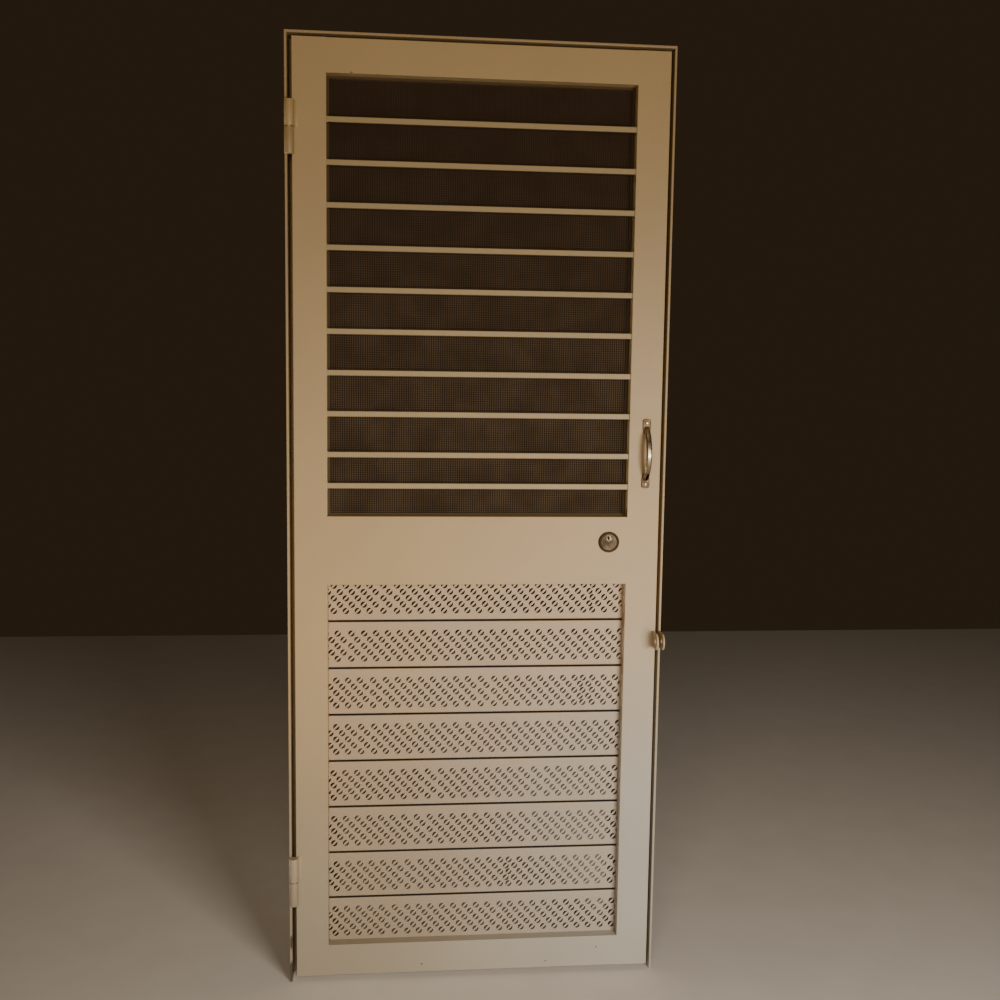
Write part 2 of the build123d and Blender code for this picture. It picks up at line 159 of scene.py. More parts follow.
def add_node(tree: bpy.types.NodeTree, kind: Kind, inputs: dict | None = None, **settings) -> bpy.types.Node:
    """Add a node, set it up and join it to what comes before it.

    Args:
        tree: The shader or geometry tree.
        kind: Which kind of node.
        inputs: Socket name or number against a value, an output socket to join, a node whose first
            live output is joined, or a list of nodes for a socket that takes several.
        settings: Properties of the node itself.

    Returns:
        The new node.
    """
    node = tree.nodes.new(kind.value)
    for name, value in settings.items():
        setattr(node, name, value)
    for key, value in (inputs or {}).items():
        target = live_socket(node.inputs, key)
        for source in value if isinstance(value, list) else [value]:
            if isinstance(source, bpy.types.Node):
                source = next(socket for socket in source.outputs if socket.enabled)
            if isinstance(source, bpy.types.NodeSocket):
                tree.links.new(source, target)
            else:
                target.default_value = source
    return node


def object_from(
    name: str, mesh: bpy.types.Mesh, material: bpy.types.Material | None = None
) -> bpy.types.Object:
    """Put a mesh into the scene as an object at the origin.

    Args:
        name: The object's name.
        mesh: Its mesh, already in the row frame.
        material: The finish, unless the mesh has it already.

    Returns:
        The new object.
    """
    mesh.name = name
    if material is not None:
        mesh.materials.clear()
        mesh.materials.append(material)
    made = bpy.data.objects.new(name, mesh)
    bpy.context.scene.collection.objects.link(made)
    return made


def mesh_from(name: str, work: bmesh.types.BMesh) -> bpy.types.Mesh:
    """Turn worked geometry into a mesh, with its faces outward.

    Args:
        name: The mesh's name.
        work: The geometry, which is freed.

    Returns:
        The mesh.
    """
    bmesh.ops.recalc_face_normals(work, faces=work.faces[:])
    mesh = bpy.data.meshes.new(name)
    work.to_mesh(mesh)
    work.free()
    return mesh


def skin_rings(work: bmesh.types.BMesh, rings: list, capped: bool = True) -> None:
    """Join rings of points into one skin, each to the next.

    Args:
        work: The geometry to add to.
        rings: Closed rings of vertices, all in the same order.
        capped: Whether the first and last ring are closed by a face.
    """
    for low, high in zip(rings, rings[1:]):
        for index in range(len(low)):
            following = (index + 1) % len(low)
            work.faces.new((low[index], low[following], high[following], high[index]))
    if capped:
        work.faces.new(rings[0][::-1])
        work.faces.new(rings[-1])


def keep_what_is_inside(work: bmesh.types.BMesh, point: tuple, outward: tuple, reach: float) -> list:
    """Cut away what lies beyond a plane.

    Args:
        work: The geometry.
        point: A point on the plane, in millimetres.
        outward: The plane's direction, away from what stays.
        reach: How near to the plane a point counts as on it, in millimetres.

    Returns:
        The edges that the cut made.
    """
    cut = bmesh.ops.bisect_plane(
        work, geom=work.verts[:] + work.edges[:] + work.faces[:], dist=reach * MM,
        plane_co=[value * MM for value in point], plane_no=outward, clear_outer=True
    )
    return [item for item in cut["geom_cut"] if isinstance(item, bmesh.types.BMEdge)]


def run_tree(name: str, tree: bpy.types.NodeTree, values: dict) -> bpy.types.Mesh:
    """Run a geometry tree once and keep its result as a plain mesh.

    Args:
        name: Name for the mesh.
        tree: The tree, with named inputs.
        values: Input name against value.

    Returns:
        The evaluated mesh, with no modifier left behind.
    """
    carrier = bpy.data.objects.new(name, bpy.data.meshes.new(name))
    bpy.context.scene.collection.objects.link(carrier)
    modifier = carrier.modifiers.new("Pattern", "NODES")
    modifier.node_group = tree
    for item in tree.interface.items_tree:
        if item.item_type == "SOCKET" and item.in_out == "INPUT" and item.name in values:
            modifier[item.identifier] = values[item.name]
    graph = bpy.context.evaluated_depsgraph_get()
    mesh = bpy.data.meshes.new_from_object(carrier.evaluated_get(graph), depsgraph=graph)
    carrier.modifiers.clear()
    bpy.data.objects.remove(carrier)
    return mesh


def new_tree(name: str, floats: tuple, integers: tuple) -> tuple[bpy.types.NodeTree, dict]:
    """Start a geometry tree with named inputs, a material input and one geometry output.

    Args:
        name: The tree's name.
        floats: Names of the number inputs.
        integers: Names of the whole-number inputs.

    Returns:
        The tree, and the sockets of its inputs by name.
    """
    tree = bpy.data.node_groups.new(name, "GeometryNodeTree")
    for label in floats:
        tree.interface.new_socket(label, in_out="INPUT", socket_type="NodeSocketFloat")
    for label in integers:
        tree.interface.new_socket(label, in_out="INPUT", socket_type="NodeSocketInt")
    tree.interface.new_socket("Material", in_out="INPUT", socket_type="NodeSocketMaterial")
    tree.interface.new_socket("Geometry", in_out="OUTPUT", socket_type="NodeSocketGeometry")
    return tree, {socket.name: socket for socket in add_node(tree, Kind.TREE_INPUT).outputs}


def dress(node: str, material: bpy.types.Material, ease: float = 0.0) -> bpy.types.Object:
    """Give a CAD node its finish and, where it helps, eased edges.

    Args:
        node: The node's name.
        material: Its finish.
        ease: Width of the eased edges in millimetres, or nothing for sharp ones.

    Returns:
        The node's object.
    """
    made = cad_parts[node]
    made.data.materials.clear()
    made.data.materials.append(material)
    if ease:
        made.modifiers.new("Weld", "WELD").merge_threshold = 0.005 * MM
        bevel = made.modifiers.new("Eased edges", "BEVEL")
        bevel.width = ease * MM
        bevel.segments = 2
        bevel.limit_method = "ANGLE"
        bevel.angle_limit = math.radians(40)
        bevel.harden_normals = False
    return made


# Where the finishes have their marks

ring_low, ring_high = box_in_mm("lock_ring")
handle_low, handle_high = box_in_mm("pull_handle")
FACE = box_in_mm("hinge_stile")[0].y
LOCK_X = (ring_low.x + ring_high.x) / 2
LOCK_Z = (ring_low.z + ring_high.z) / 2
HANDLE_X = (handle_low.x + handle_high.x) / 2
HANDLE_FOOT_Z = handle_low.z


# Finishes


def start_shader(name: str) -> tuple[bpy.types.Material, bpy.types.NodeTree, bpy.types.NodeSocket]:
    """Start a material with an empty tree and object coordinates.

    Args:
        name: The real material's name.

    Returns:
        The material, its tree, and the socket of its coordinates in metres.
    """
    material = bpy.data.materials.new(name)
    material.use_nodes = True
    tree = material.node_tree
    tree.nodes.clear()
    return material, tree, add_node(tree, Kind.COORDINATES).outputs["Object"]


def close_shader(tree: bpy.types.NodeTree, surface: dict) -> None:
    """End a material's tree in its surface.

    Args:
        tree: The material's tree.
        surface: Inputs of the principled shader, by name.
    """
    principled = add_node(tree, Kind.PRINCIPLED, surface)
    add_node(tree, Kind.SURFACE_OUTPUT, {"Surface": principled})


@dataclass(frozen=True)
class Mark:
    """A chip, rub, stain or patch of painted shade at one place, with its centre and size in millimetres.

    It fades out about 17 mm before and behind its centre, where the depth in metres times
    fade_with_depth reaches one.
    """

    x: float
    y: float
    z: float
    width: float
    height: float
    fade_with_depth: float = 60.0
    edge: tuple = (1.0, 0.75)
    lump_share: float = 0.4

    def mask(
        self, tree: bpy.types.NodeTree, place: bpy.types.NodeSocket, ragged: float = 0.5
    ) -> bpy.types.Node:
        """Soft spot round the mark's centre, with a ragged edge.

        Args:
            tree: The shader tree.
            place: Coordinates in metres.
            ragged: How far noise eats into the edge.

        Returns:
            One inside the mark and nought outside.
        """
        centre = (self.x * MM, self.y * MM, self.z * MM)
        per_radius = (2 * per_metre(self.width), self.fade_with_depth, 2 * per_metre(self.height))
        centred = add_node(tree, Kind.VECTOR_MATH, {0: place, 1: centre}, operation="SUBTRACT")
        scaled = add_node(tree, Kind.VECTOR_MATH, {0: centred, 1: per_radius}, operation="MULTIPLY")
        distance = add_node(tree, Kind.VECTOR_MATH, {0: scaled}, operation="LENGTH")
        lumps = add_node(
            tree, Kind.NOISE, {"Vector": place, "Scale": per_metre(self.height * self.lump_share)}
        )
        wobble = add_node(tree, Kind.MATH, {0: lumps, 1: ragged, 2: -ragged / 2}, operation="MULTIPLY_ADD")
        reach = add_node(tree, Kind.MATH, {0: distance, 1: wobble}, operation="ADD")
        outer, inner = self.edge
        return add_node(
            tree, Kind.RANGE, {"Value": reach, "From Min": outer, "From Max": inner},
            interpolation_type="SMOOTHSTEP"
        )


@dataclass(frozen=True)
class Enamel:
    """Satin enamel, rolled onto steel by hand.

    It gives the eye a soft, even sheen over a faint roller peel and slow waves in the sheet. Its colour
    carries painted light: painted shade darkens and warms it towards the top and darkens it near the foot,
    and painted cool light pales it low down on the lock side. Knocks show as small brown chips and rubs.
    Where a depth is given, narrow faces behind it get painted shade.
    Heights, widths and sizes of patterns are in millimetres.
    """

    name: str
    top_shade_tone: str
    # The middle tone is the paint's own colour. The top and foot tones are painted shade, and the lock-side
    # tone is painted cool light.
    middle_tone: str
    foot_shade_tone: str
    lock_side_light_tone: str
    roughness: float = 0.48
    specular: float = 0.36
    chips: tuple = ()
    rubs: tuple = ()
    # Depth behind which narrow faces get painted shade; its tone, strength and soft edge follow below.
    shade_depth: float | None = None
    chip_tone: str = "3B2E20"
    chip_strength: float = 0.85
    rub_tone: str = "8F8069"
    rub_strength: float = 0.35
    shade_tone: str = "2A2016"
    shade_strength: float = 0.92
    shade_edge: float = 0.3
    edgewise_limit: float = 0.6
    # Where the painted shade at the top and foot and the painted cool light on the lock side come in, in
    # millimetres.
    top_shade_heights: tuple = (700.0, 1850.0)
    foot_shade_heights: tuple = (850.0, 50.0)
    side_light_across: tuple = (100.0, 800.0)
    side_light_down: tuple = (1100.0, 300.0)
    cloud_size: float = 260.0
    cloud_share: float = 0.16
    speck_size: float = 5.0
    speck_share: float = 0.08
    gloss_patch: float = 40.0
    gloss_share: float = 0.10
    sheet_wave: float = 90.0
    wave_relief: float = 0.10
    wave_depth: float = 1.5
    roller_peel: float = 1.6
    peel_relief: float = 0.12
    peel_depth: float = 0.1

    def build(self) -> bpy.types.Material:
        """Make the material.

        Returns:
            The finished material.
        """
        material, tree, place = start_shader(self.name)
        colour = self.colour_with_painted_light(tree, place)
        for marks, tone, strength in (
            (self.rubs, self.rub_tone, self.rub_strength),
            (self.chips, self.chip_tone, self.chip_strength),
        ):
            for mark in marks:
                share = add_node(
                    tree, Kind.MATH, {0: mark.mask(tree, place), 1: strength}, operation="MULTIPLY"
                )
                colour = add_node(
                    tree, Kind.MIX, {"Factor": share, "A": colour, "B": linear(tone)}, data_type="RGBA"
                )
        # Painted shade on the narrow faces behind the given depth.
        if self.shade_depth is not None:
            shaded = {"Factor": self.painted_shade(tree, place), "A": colour, "B": linear(self.shade_tone)}
            colour = add_node(tree, Kind.MIX, shaded, data_type="RGBA")
        patches = add_node(tree, Kind.NOISE, {"Vector": place, "Scale": per_metre(self.gloss_patch)})
        gloss = add_node(
            tree, Kind.MATH, {0: patches, 1: self.gloss_share, 2: self.roughness - self.gloss_share / 2},
            operation="MULTIPLY_ADD"
        )
        close_shader(
            tree,
            {
                "Base Color": colour,
                "Roughness": gloss,
                "Specular IOR Level": self.specular,
                "Normal": self.relief(tree, place),
            },
        )
        return material

    def colour_with_painted_light(self, tree: bpy.types.NodeTree, place: bpy.types.NodeSocket) -> bpy.types.Node:
        """Spread the paint's colour, its painted shade at the top and foot and its painted cool light on the
        lock side over the door, and cloud them.

        Args:
            tree: The shader tree.
            place: Coordinates in metres.

        Returns:
            The paint's colour with its painted light, before any damage.
        """
        across, _, height = add_node(tree, Kind.SEPARATE, {"Vector": place}).outputs
        # Painted shade at the top and foot, painted cool light low on the lock side.
        shares = []
        for value, (start, end) in (
            (height, self.top_shade_heights),
            (height, self.foot_shade_heights),
            (across, self.side_light_across),
            (height, self.side_light_down),
        ):
            shares.append(add_node(
                tree, Kind.RANGE, {"Value": value, "From Min": start * MM, "From Max": end * MM},
                interpolation_type="SMOOTHSTEP"
            ))
        top_shaded, foot_shaded, lit_across, lit_down = shares
        side_lit = add_node(tree, Kind.MATH, {0: lit_across, 1: lit_down}, operation="MULTIPLY")
        colour = linear(self.middle_tone)
        for share, tone in (
            (top_shaded, self.top_shade_tone), (foot_shaded, self.foot_shade_tone), (side_lit, self.lock_side_light_tone)
        ):
            colour = add_node(
                tree, Kind.MIX, {"Factor": share, "A": colour, "B": linear(tone)}, data_type="RGBA"
            )
        tones = []
        for size, share, detail in (
            (self.cloud_size, self.cloud_share, 3.0), (self.speck_size, self.speck_share, 1.0)
        ):
            pattern = add_node(
                tree, Kind.NOISE, {"Vector": place, "Scale": per_metre(size), "Detail": detail}
            )
            tones.append(add_node(
                tree, Kind.MATH, {0: pattern, 1: share, 2: 1 - share / 2}, operation="MULTIPLY_ADD"
            ))
        tone = add_node(tree, Kind.MATH, {0: tones[0], 1: tones[1]}, operation="MULTIPLY")
        return add_node(tree, Kind.VECTOR_MATH, {0: colour, "Scale": tone}, operation="SCALE")

    def relief(self, tree: bpy.types.NodeTree, place: bpy.types.NodeSocket) -> bpy.types.Node:
        """Lay the roller's fine peel over the sheet's slow waves.

        Args:
            tree: The shader tree.
            place: Coordinates in metres.

        Returns:
            The bumped normal.
        """
        waves = add_node(
            tree, Kind.NOISE, {"Vector": place, "Scale": per_metre(self.sheet_wave), "Detail": 1.0}
        )
        broad = add_node(
            tree, Kind.BUMP,
            {"Strength": self.wave_relief, "Distance": self.wave_depth * MM, "Height": waves}
        )
        peel = add_node(tree, Kind.NOISE, {"Vector": place, "Scale": per_metre(self.roller_peel)})
        return add_node(
            tree, Kind.BUMP,
            {
                "Strength": self.peel_relief,
                "Distance": self.peel_depth * MM,
                "Height": peel,
                "Normal": broad,
            }
        )

    def painted_shade(self, tree: bpy.types.NodeTree, place: bpy.types.NodeSocket) -> bpy.types.Node:
        """Find the narrow faces behind the given depth, such as cut edges, tops and undersides, that get
        painted shade.

        Args:
            tree: The shader tree.
            place: Coordinates in metres.

        Returns:
            The painted shade's strength on those faces, and nought elsewhere.
        """
        depth = add_node(tree, Kind.SEPARATE, {"Vector": place}).outputs["Y"]
        normal = add_node(tree, Kind.COORDINATES).outputs["Normal"]
        facing = add_node(tree, Kind.SEPARATE, {"Vector": normal}).outputs["Y"]
        steep = add_node(tree, Kind.MATH, {0: facing}, operation="ABSOLUTE")
        edgewise = add_node(tree, Kind.MATH, {0: steep, 1: self.edgewise_limit}, operation="LESS_THAN")
        start = (self.shade_depth - self.shade_edge) * MM
        end = (self.shade_depth + self.shade_edge) * MM
        behind = add_node(
            tree, Kind.RANGE,
            {"Value": depth, "From Min": start, "From Max": end, "To Max": self.shade_strength},
            interpolation_type="SMOOTHSTEP"
        )
        return add_node(tree, Kind.MATH, {0: edgewise, 1: behind}, operation="MULTIPLY")


@dataclass(frozen=True)
class Plate:
    """Bare or plated metal.

    Handling wears it unevenly, so bright and dull patches lie side by side. Turned pieces show rings round
    their centre, drawn coarser than a real tool's marks so that they show. A brown film dulls what lies
    behind a given depth, and nearly black marks are painted shade and painted dark reflections. Sizes are in
    millimetres.
    """

    name: str
    bright: str
    dull: str
    roughness: float
    metallic: float = 1.0
    lump: float = 6.0
    turned_about: tuple | None = None
    ring_pitch: float = 1.4
    ring_shade: float = 0.20
    film_behind: float | None = None
    film_tone: str = "463826"
    film_strength: float = 0.8
    film_dulling: float = 0.22
    # Nearly black marks of painted shade and painted dark reflection.
    painted_dark_marks: tuple = ()
    painted_dark_tone: str = "120C07"
    dull_share: float = 0.16
    patch_edge: tuple = (0.35, 0.65)
    ring_relief: float = 0.35
    ring_depth: float = 0.1

    def build(self) -> bpy.types.Material:
        """Make the material.

        Returns:
            The finished material.
        """
        material, tree, place = start_shader(self.name)
        surface = {"Metallic": self.metallic}
        lumps = add_node(tree, Kind.NOISE, {"Vector": place, "Scale": per_metre(self.lump), "Detail": 3.0})
        start, end = self.patch_edge
        share = add_node(
            tree, Kind.RANGE, {"Value": lumps, "From Min": start, "From Max": end},
            interpolation_type="SMOOTHSTEP"
        )
        worn = {"Factor": share, "A": linear(self.bright), "B": linear(self.dull)}
        colour = add_node(tree, Kind.MIX, worn, data_type="RGBA")
        if self.turned_about is not None:
            rings = self.rings(tree, place)
            shade = add_node(
                tree, Kind.MATH, {0: rings, 1: self.ring_shade, 2: 1 - self.ring_shade},
                operation="MULTIPLY_ADD"
            )
            colour = add_node(tree, Kind.VECTOR_MATH, {0: colour, "Scale": shade}, operation="SCALE")
            surface["Normal"] = add_node(
                tree, Kind.BUMP,
                {"Strength": self.ring_relief, "Distance": self.ring_depth * MM, "Height": rings}
            )
        gloss = add_node(
            tree, Kind.MATH, {0: share, 1: self.dull_share, 2: self.roughness - self.dull_share / 2},
            operation="MULTIPLY_ADD"
        )
        if self.film_behind is not None:
            depth = add_node(tree, Kind.SEPARATE, {"Vector": place}).outputs["Y"]
            film = add_node(
                tree, Kind.RANGE,
                {
                    "Value": depth,
                    "From Min": (self.film_behind - 1.0) * MM,
                    "From Max": self.film_behind * MM,
                    "To Max": self.film_strength,
                },
                interpolation_type="SMOOTHSTEP"
            )
            coated = {"Factor": film, "A": colour, "B": linear(self.film_tone)}
            colour = add_node(tree, Kind.MIX, coated, data_type="RGBA")
            gloss = add_node(
                tree, Kind.MATH, {0: film, 1: self.film_dulling, 2: gloss}, operation="MULTIPLY_ADD"
            )
        # Nearly black patches of painted shade and painted dark reflection.
        for mark in self.painted_dark_marks:
            blackened = {"Factor": mark.mask(tree, place, 0.2), "A": colour, "B": linear(self.painted_dark_tone)}
            colour = add_node(tree, Kind.MIX, blackened, data_type="RGBA")
        close_shader(tree, {"Base Color": colour, "Roughness": gloss, **surface})
        return material

    def rings(self, tree: bpy.types.NodeTree, place: bpy.types.NodeSocket) -> bpy.types.Node:
        """Turning marks round the piece's centre.

        Args:
            tree: The shader tree.
            place: Coordinates in metres.

        Returns:
            A wave from minus one to one.
        """
        centre = tuple(value * MM for value in self.turned_about)
        across_face = (1.0, 0.0, 1.0)
        offset = add_node(tree, Kind.VECTOR_MATH, {0: place, 1: centre}, operation="SUBTRACT")
        flat = add_node(tree, Kind.VECTOR_MATH, {0: offset, 1: across_face}, operation="MULTIPLY")
        radius = add_node(tree, Kind.VECTOR_MATH, {0: flat}, operation="LENGTH")
        turns = 2 * math.pi * per_metre(self.ring_pitch)
        angle = add_node(tree, Kind.MATH, {0: radius, 1: turns}, operation="MULTIPLY")
        return add_node(tree, Kind.MATH, {0: angle}, operation="SINE")


@dataclass(frozen=True)
class DustyYarn:
    """Dark vinyl-coated yarn with dust on it.

    The coating is matt, and the dust on some upright and level yarns makes the weave read as streaks.
    The streaks are about two yarns apart, coarser than one yarn, so that they show. Lower down the streaks
    are painted paler, as painted light. Sizes are in millimetres.
    """

    name: str
    clean: str
    dust_and_light_tone: str
    streak: float = 5.0
    row_patch: float = 25.0
    dust_patch: float = 70.0
    # Heights over which the streaks grow paler, as painted light, and how strong they are at each end.
    lower_light_heights: tuple = (2000.0, 1100.0)
    lower_light_share: tuple = (0.15, 0.95)
    row_share: tuple = (0.1, 0.5)
    row_level: float = 0.75
    patch_share: tuple = (0.6, 1.0)
    roughness: float = 0.85
    specular: float = 0.08

    def build(self) -> bpy.types.Material:
        """Make the material.

        Returns:
            The finished material.
        """
        material, tree, place = start_shader(self.name)
        across, _, height = add_node(tree, Kind.SEPARATE, {"Vector": place}).outputs
        turns = 2 * math.pi * per_metre(self.streak)
        waves = []
        for value in (across, height):
            angle = add_node(tree, Kind.MATH, {0: value, 1: turns}, operation="MULTIPLY")
            waves.append(add_node(tree, Kind.MATH, {0: angle}, operation="SINE"))
        upright = add_node(tree, Kind.MATH, {0: waves[0], 1: 0.5, 2: 0.5}, operation="MULTIPLY_ADD")
        row_strength = self.patches(tree, place, self.row_patch, self.row_share)
        level = add_node(
            tree, Kind.MATH, {0: waves[1], 1: row_strength, 2: self.row_level}, operation="MULTIPLY_ADD"
        )
        dust = self.patches(tree, place, self.dust_patch, self.patch_share)
        # Painted light: the streaks grow paler lower down.
        start, end = self.lower_light_heights
        least, most = self.lower_light_share
        lower_lit = add_node(
            tree, Kind.RANGE,
            {"Value": height, "From Min": start * MM, "From Max": end * MM, "To Min": least, "To Max": most},
            interpolation_type="SMOOTHSTEP"
        )
        amount = upright
        for factor in (dust, lower_lit, level):
            amount = add_node(tree, Kind.MATH, {0: amount, 1: factor}, operation="MULTIPLY")
        colour = add_node(
            tree, Kind.MIX, {"Factor": amount, "A": linear(self.clean), "B": linear(self.dust_and_light_tone)},
            data_type="RGBA"
        )
        close_shader(
            tree,
            {"Base Color": colour, "Roughness": self.roughness, "Specular IOR Level": self.specular},
        )
        return material

    def patches(
        self, tree: bpy.types.NodeTree, place: bpy.types.NodeSocket, size: float, strength: tuple
    ) -> bpy.types.Node:
        """Cloudy patches between two strengths.

        Args:
            tree: The shader tree.
            place: Coordinates in metres.
            size: Size of a patch in millimetres.
            strength: Strength between patches and in the middle of one.

        Returns:
            The patches' strength.
        """
        least, most = strength
        clouds = add_node(tree, Kind.NOISE, {"Vector": place, "Scale": per_metre(size)})
        return add_node(
            tree, Kind.RANGE,
            {"Value": clouds, "From Min": 0.3, "From Max": 0.7, "To Min": least, "To Max": most},
            interpolation_type="SMOOTHSTEP"
        )


@dataclass(frozen=True)
class FloorPaper:
    """Pale matt background paper, which gives a quiet floor with a slight cloudiness."""

    name: str
    tone: str
    roughness: float
    cloud_size: float = 120.0
    cloud_share: float = 0.12

    def build(self) -> bpy.types.Material:
        """Make the material.

        Returns:
            The finished material.
        """
        material, tree, place = start_shader(self.name)
        clouds = add_node(tree, Kind.NOISE, {"Vector": place, "Scale": per_metre(self.cloud_size)})
        shade = add_node(
            tree, Kind.MATH, {0: clouds, 1: self.cloud_share, 2: 1 - self.cloud_share / 2},
            operation="MULTIPLY_ADD"
        )
        tone = linear(self.tone)[:3]
        colour = add_node(tree, Kind.VECTOR_MATH, {0: tone, "Scale": shade}, operation="SCALE")
        close_shader(tree, {"Base Color": colour, "Roughness": self.roughness})
        return material


class Finish(Enum):
    """Every finish on the door, named for the real material. Marks stand where the wear is, and where painted
    shade and a painted dark reflection lie.
    """

    # The second of each enamel's four tones is the paint's own colour. The first and third are painted shade
    # at the top and the foot, and the fourth is painted cool light low on the lock side.
    # Frame and leaf share one tin of beige. The frame is duller, and chipped at the hinge jamb's foot.
    FRAME_PAINT = Enamel(
        "satin enamel on angle steel", "786340", "A58E66", "928671", "A09A8B",
        chips=(Mark(4, FACE, 16, 15, 72), Mark(3, FACE, 95, 6, 40)),
    )
    LEAF_PAINT = Enamel(
        "satin enamel on tube steel", "836D47", "B29970", "9A8F7A", "AAA69B",
        chips=(
            Mark(140, FACE, 2018, 7, 3.5),
            Mark(196, FACE + 2, 2015, 7, 3),
            Mark(300, FACE, 32, 6, 4),
            Mark(588, FACE, 28, 5, 3.5),
            Mark(708, FACE, 58, 5, 4),
        ),
        rubs=(Mark(806, FACE, 794, 26, 60),),
    )
    # The bars have a thinner coat, and behind the front edge their tops and undersides get painted shade.
    BAR_PAINT = Enamel(
        "satin enamel on square bar", "786641", "A5906A", "9A8F7A", "AAA69B", shade_depth=FACE + 4.3
    )
    # The planks' holes and joints were cut through the sheet, and their edges get painted shade.
    PLANK_PAINT = Enamel(
        "satin enamel on sheet steel", "AF987A", "AF987A", "9D8D76", "ABA193", shade_depth=1.5
    )
    # The channels and the plank cleats behind the holes are painted dark brown as painted shade, for the
    # shade they lie in.
    SHADE_BROWN_PAINT = Enamel(
        "dark brown enamel as painted shade on channel steel", "3D2F1B", "55482F", "463C2A", "463C2A",
        roughness=0.75, specular=0.12
    )
    # The case was enamelled by itself, so it has one even tone from top to foot.
    CASE_PAINT = Enamel("satin enamel on the lock case", "6F614C", "6F614C", "6F614C", "6F614C")
    # The yarn is coated matt, so all that shows on it is dust, which is painted paler lower down as painted
    # light.
    YARN = DustyYarn("vinyl-coated fly mesh yarn", "21150A", "6A5A46")
    # Rubbed bright along the grip and brown on the pads. The black under the grip's lower end is a painted
    # dark reflection.
    NICKEL = Plate(
        "satin nickel plate", "A0907A", "83735C", 0.34, lump=9.0, film_behind=FACE - 4.5,
        # Painted dark reflection under the grip's lower end.
        painted_dark_marks=(Mark(HANDLE_X + 2, FACE - 15, HANDLE_FOOT_Z + 24, 9, 26),)
    )
    # The screws were plated loose in a drum, so their heads are soft and finely mottled.
    SCREW = Plate("nickel-plated screw steel", "8E7F69", "665740", 0.40, lump=3.0)
    # The cylinder has gone dull brown, with turning marks, and the plug is rubbed by the key. The dark drop
    # on the plug is painted shade in its keyway.
    AGED_NICKEL = Plate(
        "aged nickel-plated brass", "5F503C", "514332", 0.56, metallic=0.75, lump=20.0,
        turned_about=(LOCK_X, FACE, LOCK_Z), ring_pitch=5.0
    )
    PLUG_NICKEL = Plate(
        "rubbed nickel-plated brass", "776951", "5C4F3C", 0.50, lump=6.0,
        # Painted shade in the keyway.
        painted_dark_marks=(Mark(LOCK_X - 1, FACE - 6, LOCK_Z + 10, 5, 10.5),)
    )
    # The bolt was drawn and left bare, so it is the palest metal, with cloudy grey patches.
    DRAWN_STEEL = Plate("drawn steel", "B5B2AC", "8A8780", 0.36)
    # The washers were turned and then rubbed by the hinge, so they are yellow with brown patches.
    BRASS = Plate("turned brass", "C2A05A", "8C6E35", 0.34)
    FLOOR = FloorPaper("studio floor paper", "D9D4CB", 0.9)


class Paintbox:
    """The finishes that have been made so far, each made once."""

    def __init__(self) -> None:
        """Start with no finish made."""
        self._made: dict[Finish, bpy.types.Material] = {}

    def get(self, finish: Finish) -> bpy.types.Material:
        """Look up a finish, making it the first time.

        Args:
            finish: Which finish.

        Returns:
            Its material.
        """
        if finish not in self._made:
            self._made[finish] = finish.value.build()
        return self._made[finish]


# The door's sub-assemblies


@dataclass
class SteelFrame:
    """Three-sided frame of steel angle."""

    members: tuple = ("hinge_jamb", "lock_jamb", "head")

    def build(self, paints: Paintbox) -> list[bpy.types.Object]:
        """Paint the frame and return its objects."""
        return [dress(node, paints.get(Finish.FRAME_PAINT)) for node in self.members]


@dataclass
class LeafTubes:
    """Stiles and rails, with the filled seams where a rail meets a stile."""

    stiles: tuple = ("hinge_stile", "lock_stile", "stile_end_plates")
    rails: tuple = ("bottom_rail", "mid_rail", "top_rail")
    seam_width: float = 1.3
    seam_depth: float = 1.2
    edge_radius: float = 1.2

    def build(self, paints: Paintbox) -> list[bpy.types.Object]:
        """Paint the tubes and fill the seams flush.

        Args:
            paints: The finishes.

        Returns:
            The objects shown.
        """
        paint = paints.get(Finish.LEAF_PAINT)
        shown = [dress(node, paint) for node in self.stiles + self.rails]
        work = bmesh.new()
        for rail in self.rails:
            low, high = box_in_mm(rail)
            section = [
                (FACE, low.z + self.edge_radius),
                (FACE, high.z - self.edge_radius),
                (FACE + self.seam_depth, high.z),
                (FACE + self.seam_depth, low.z),
            ]
            for near, far in ((low.x - self.seam_width, low.x), (high.x, high.x + self.seam_width)):
                rings = [[work.verts.new((x * MM, y * MM, z * MM)) for y, z in section] for x in (near, far)]
                skin_rings(work, rings)
        seams = object_from("filled_leaf_seams", mesh_from("filled_leaf_seams", work), paint)
        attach(seams, "leaf")
        return shown + [seams]


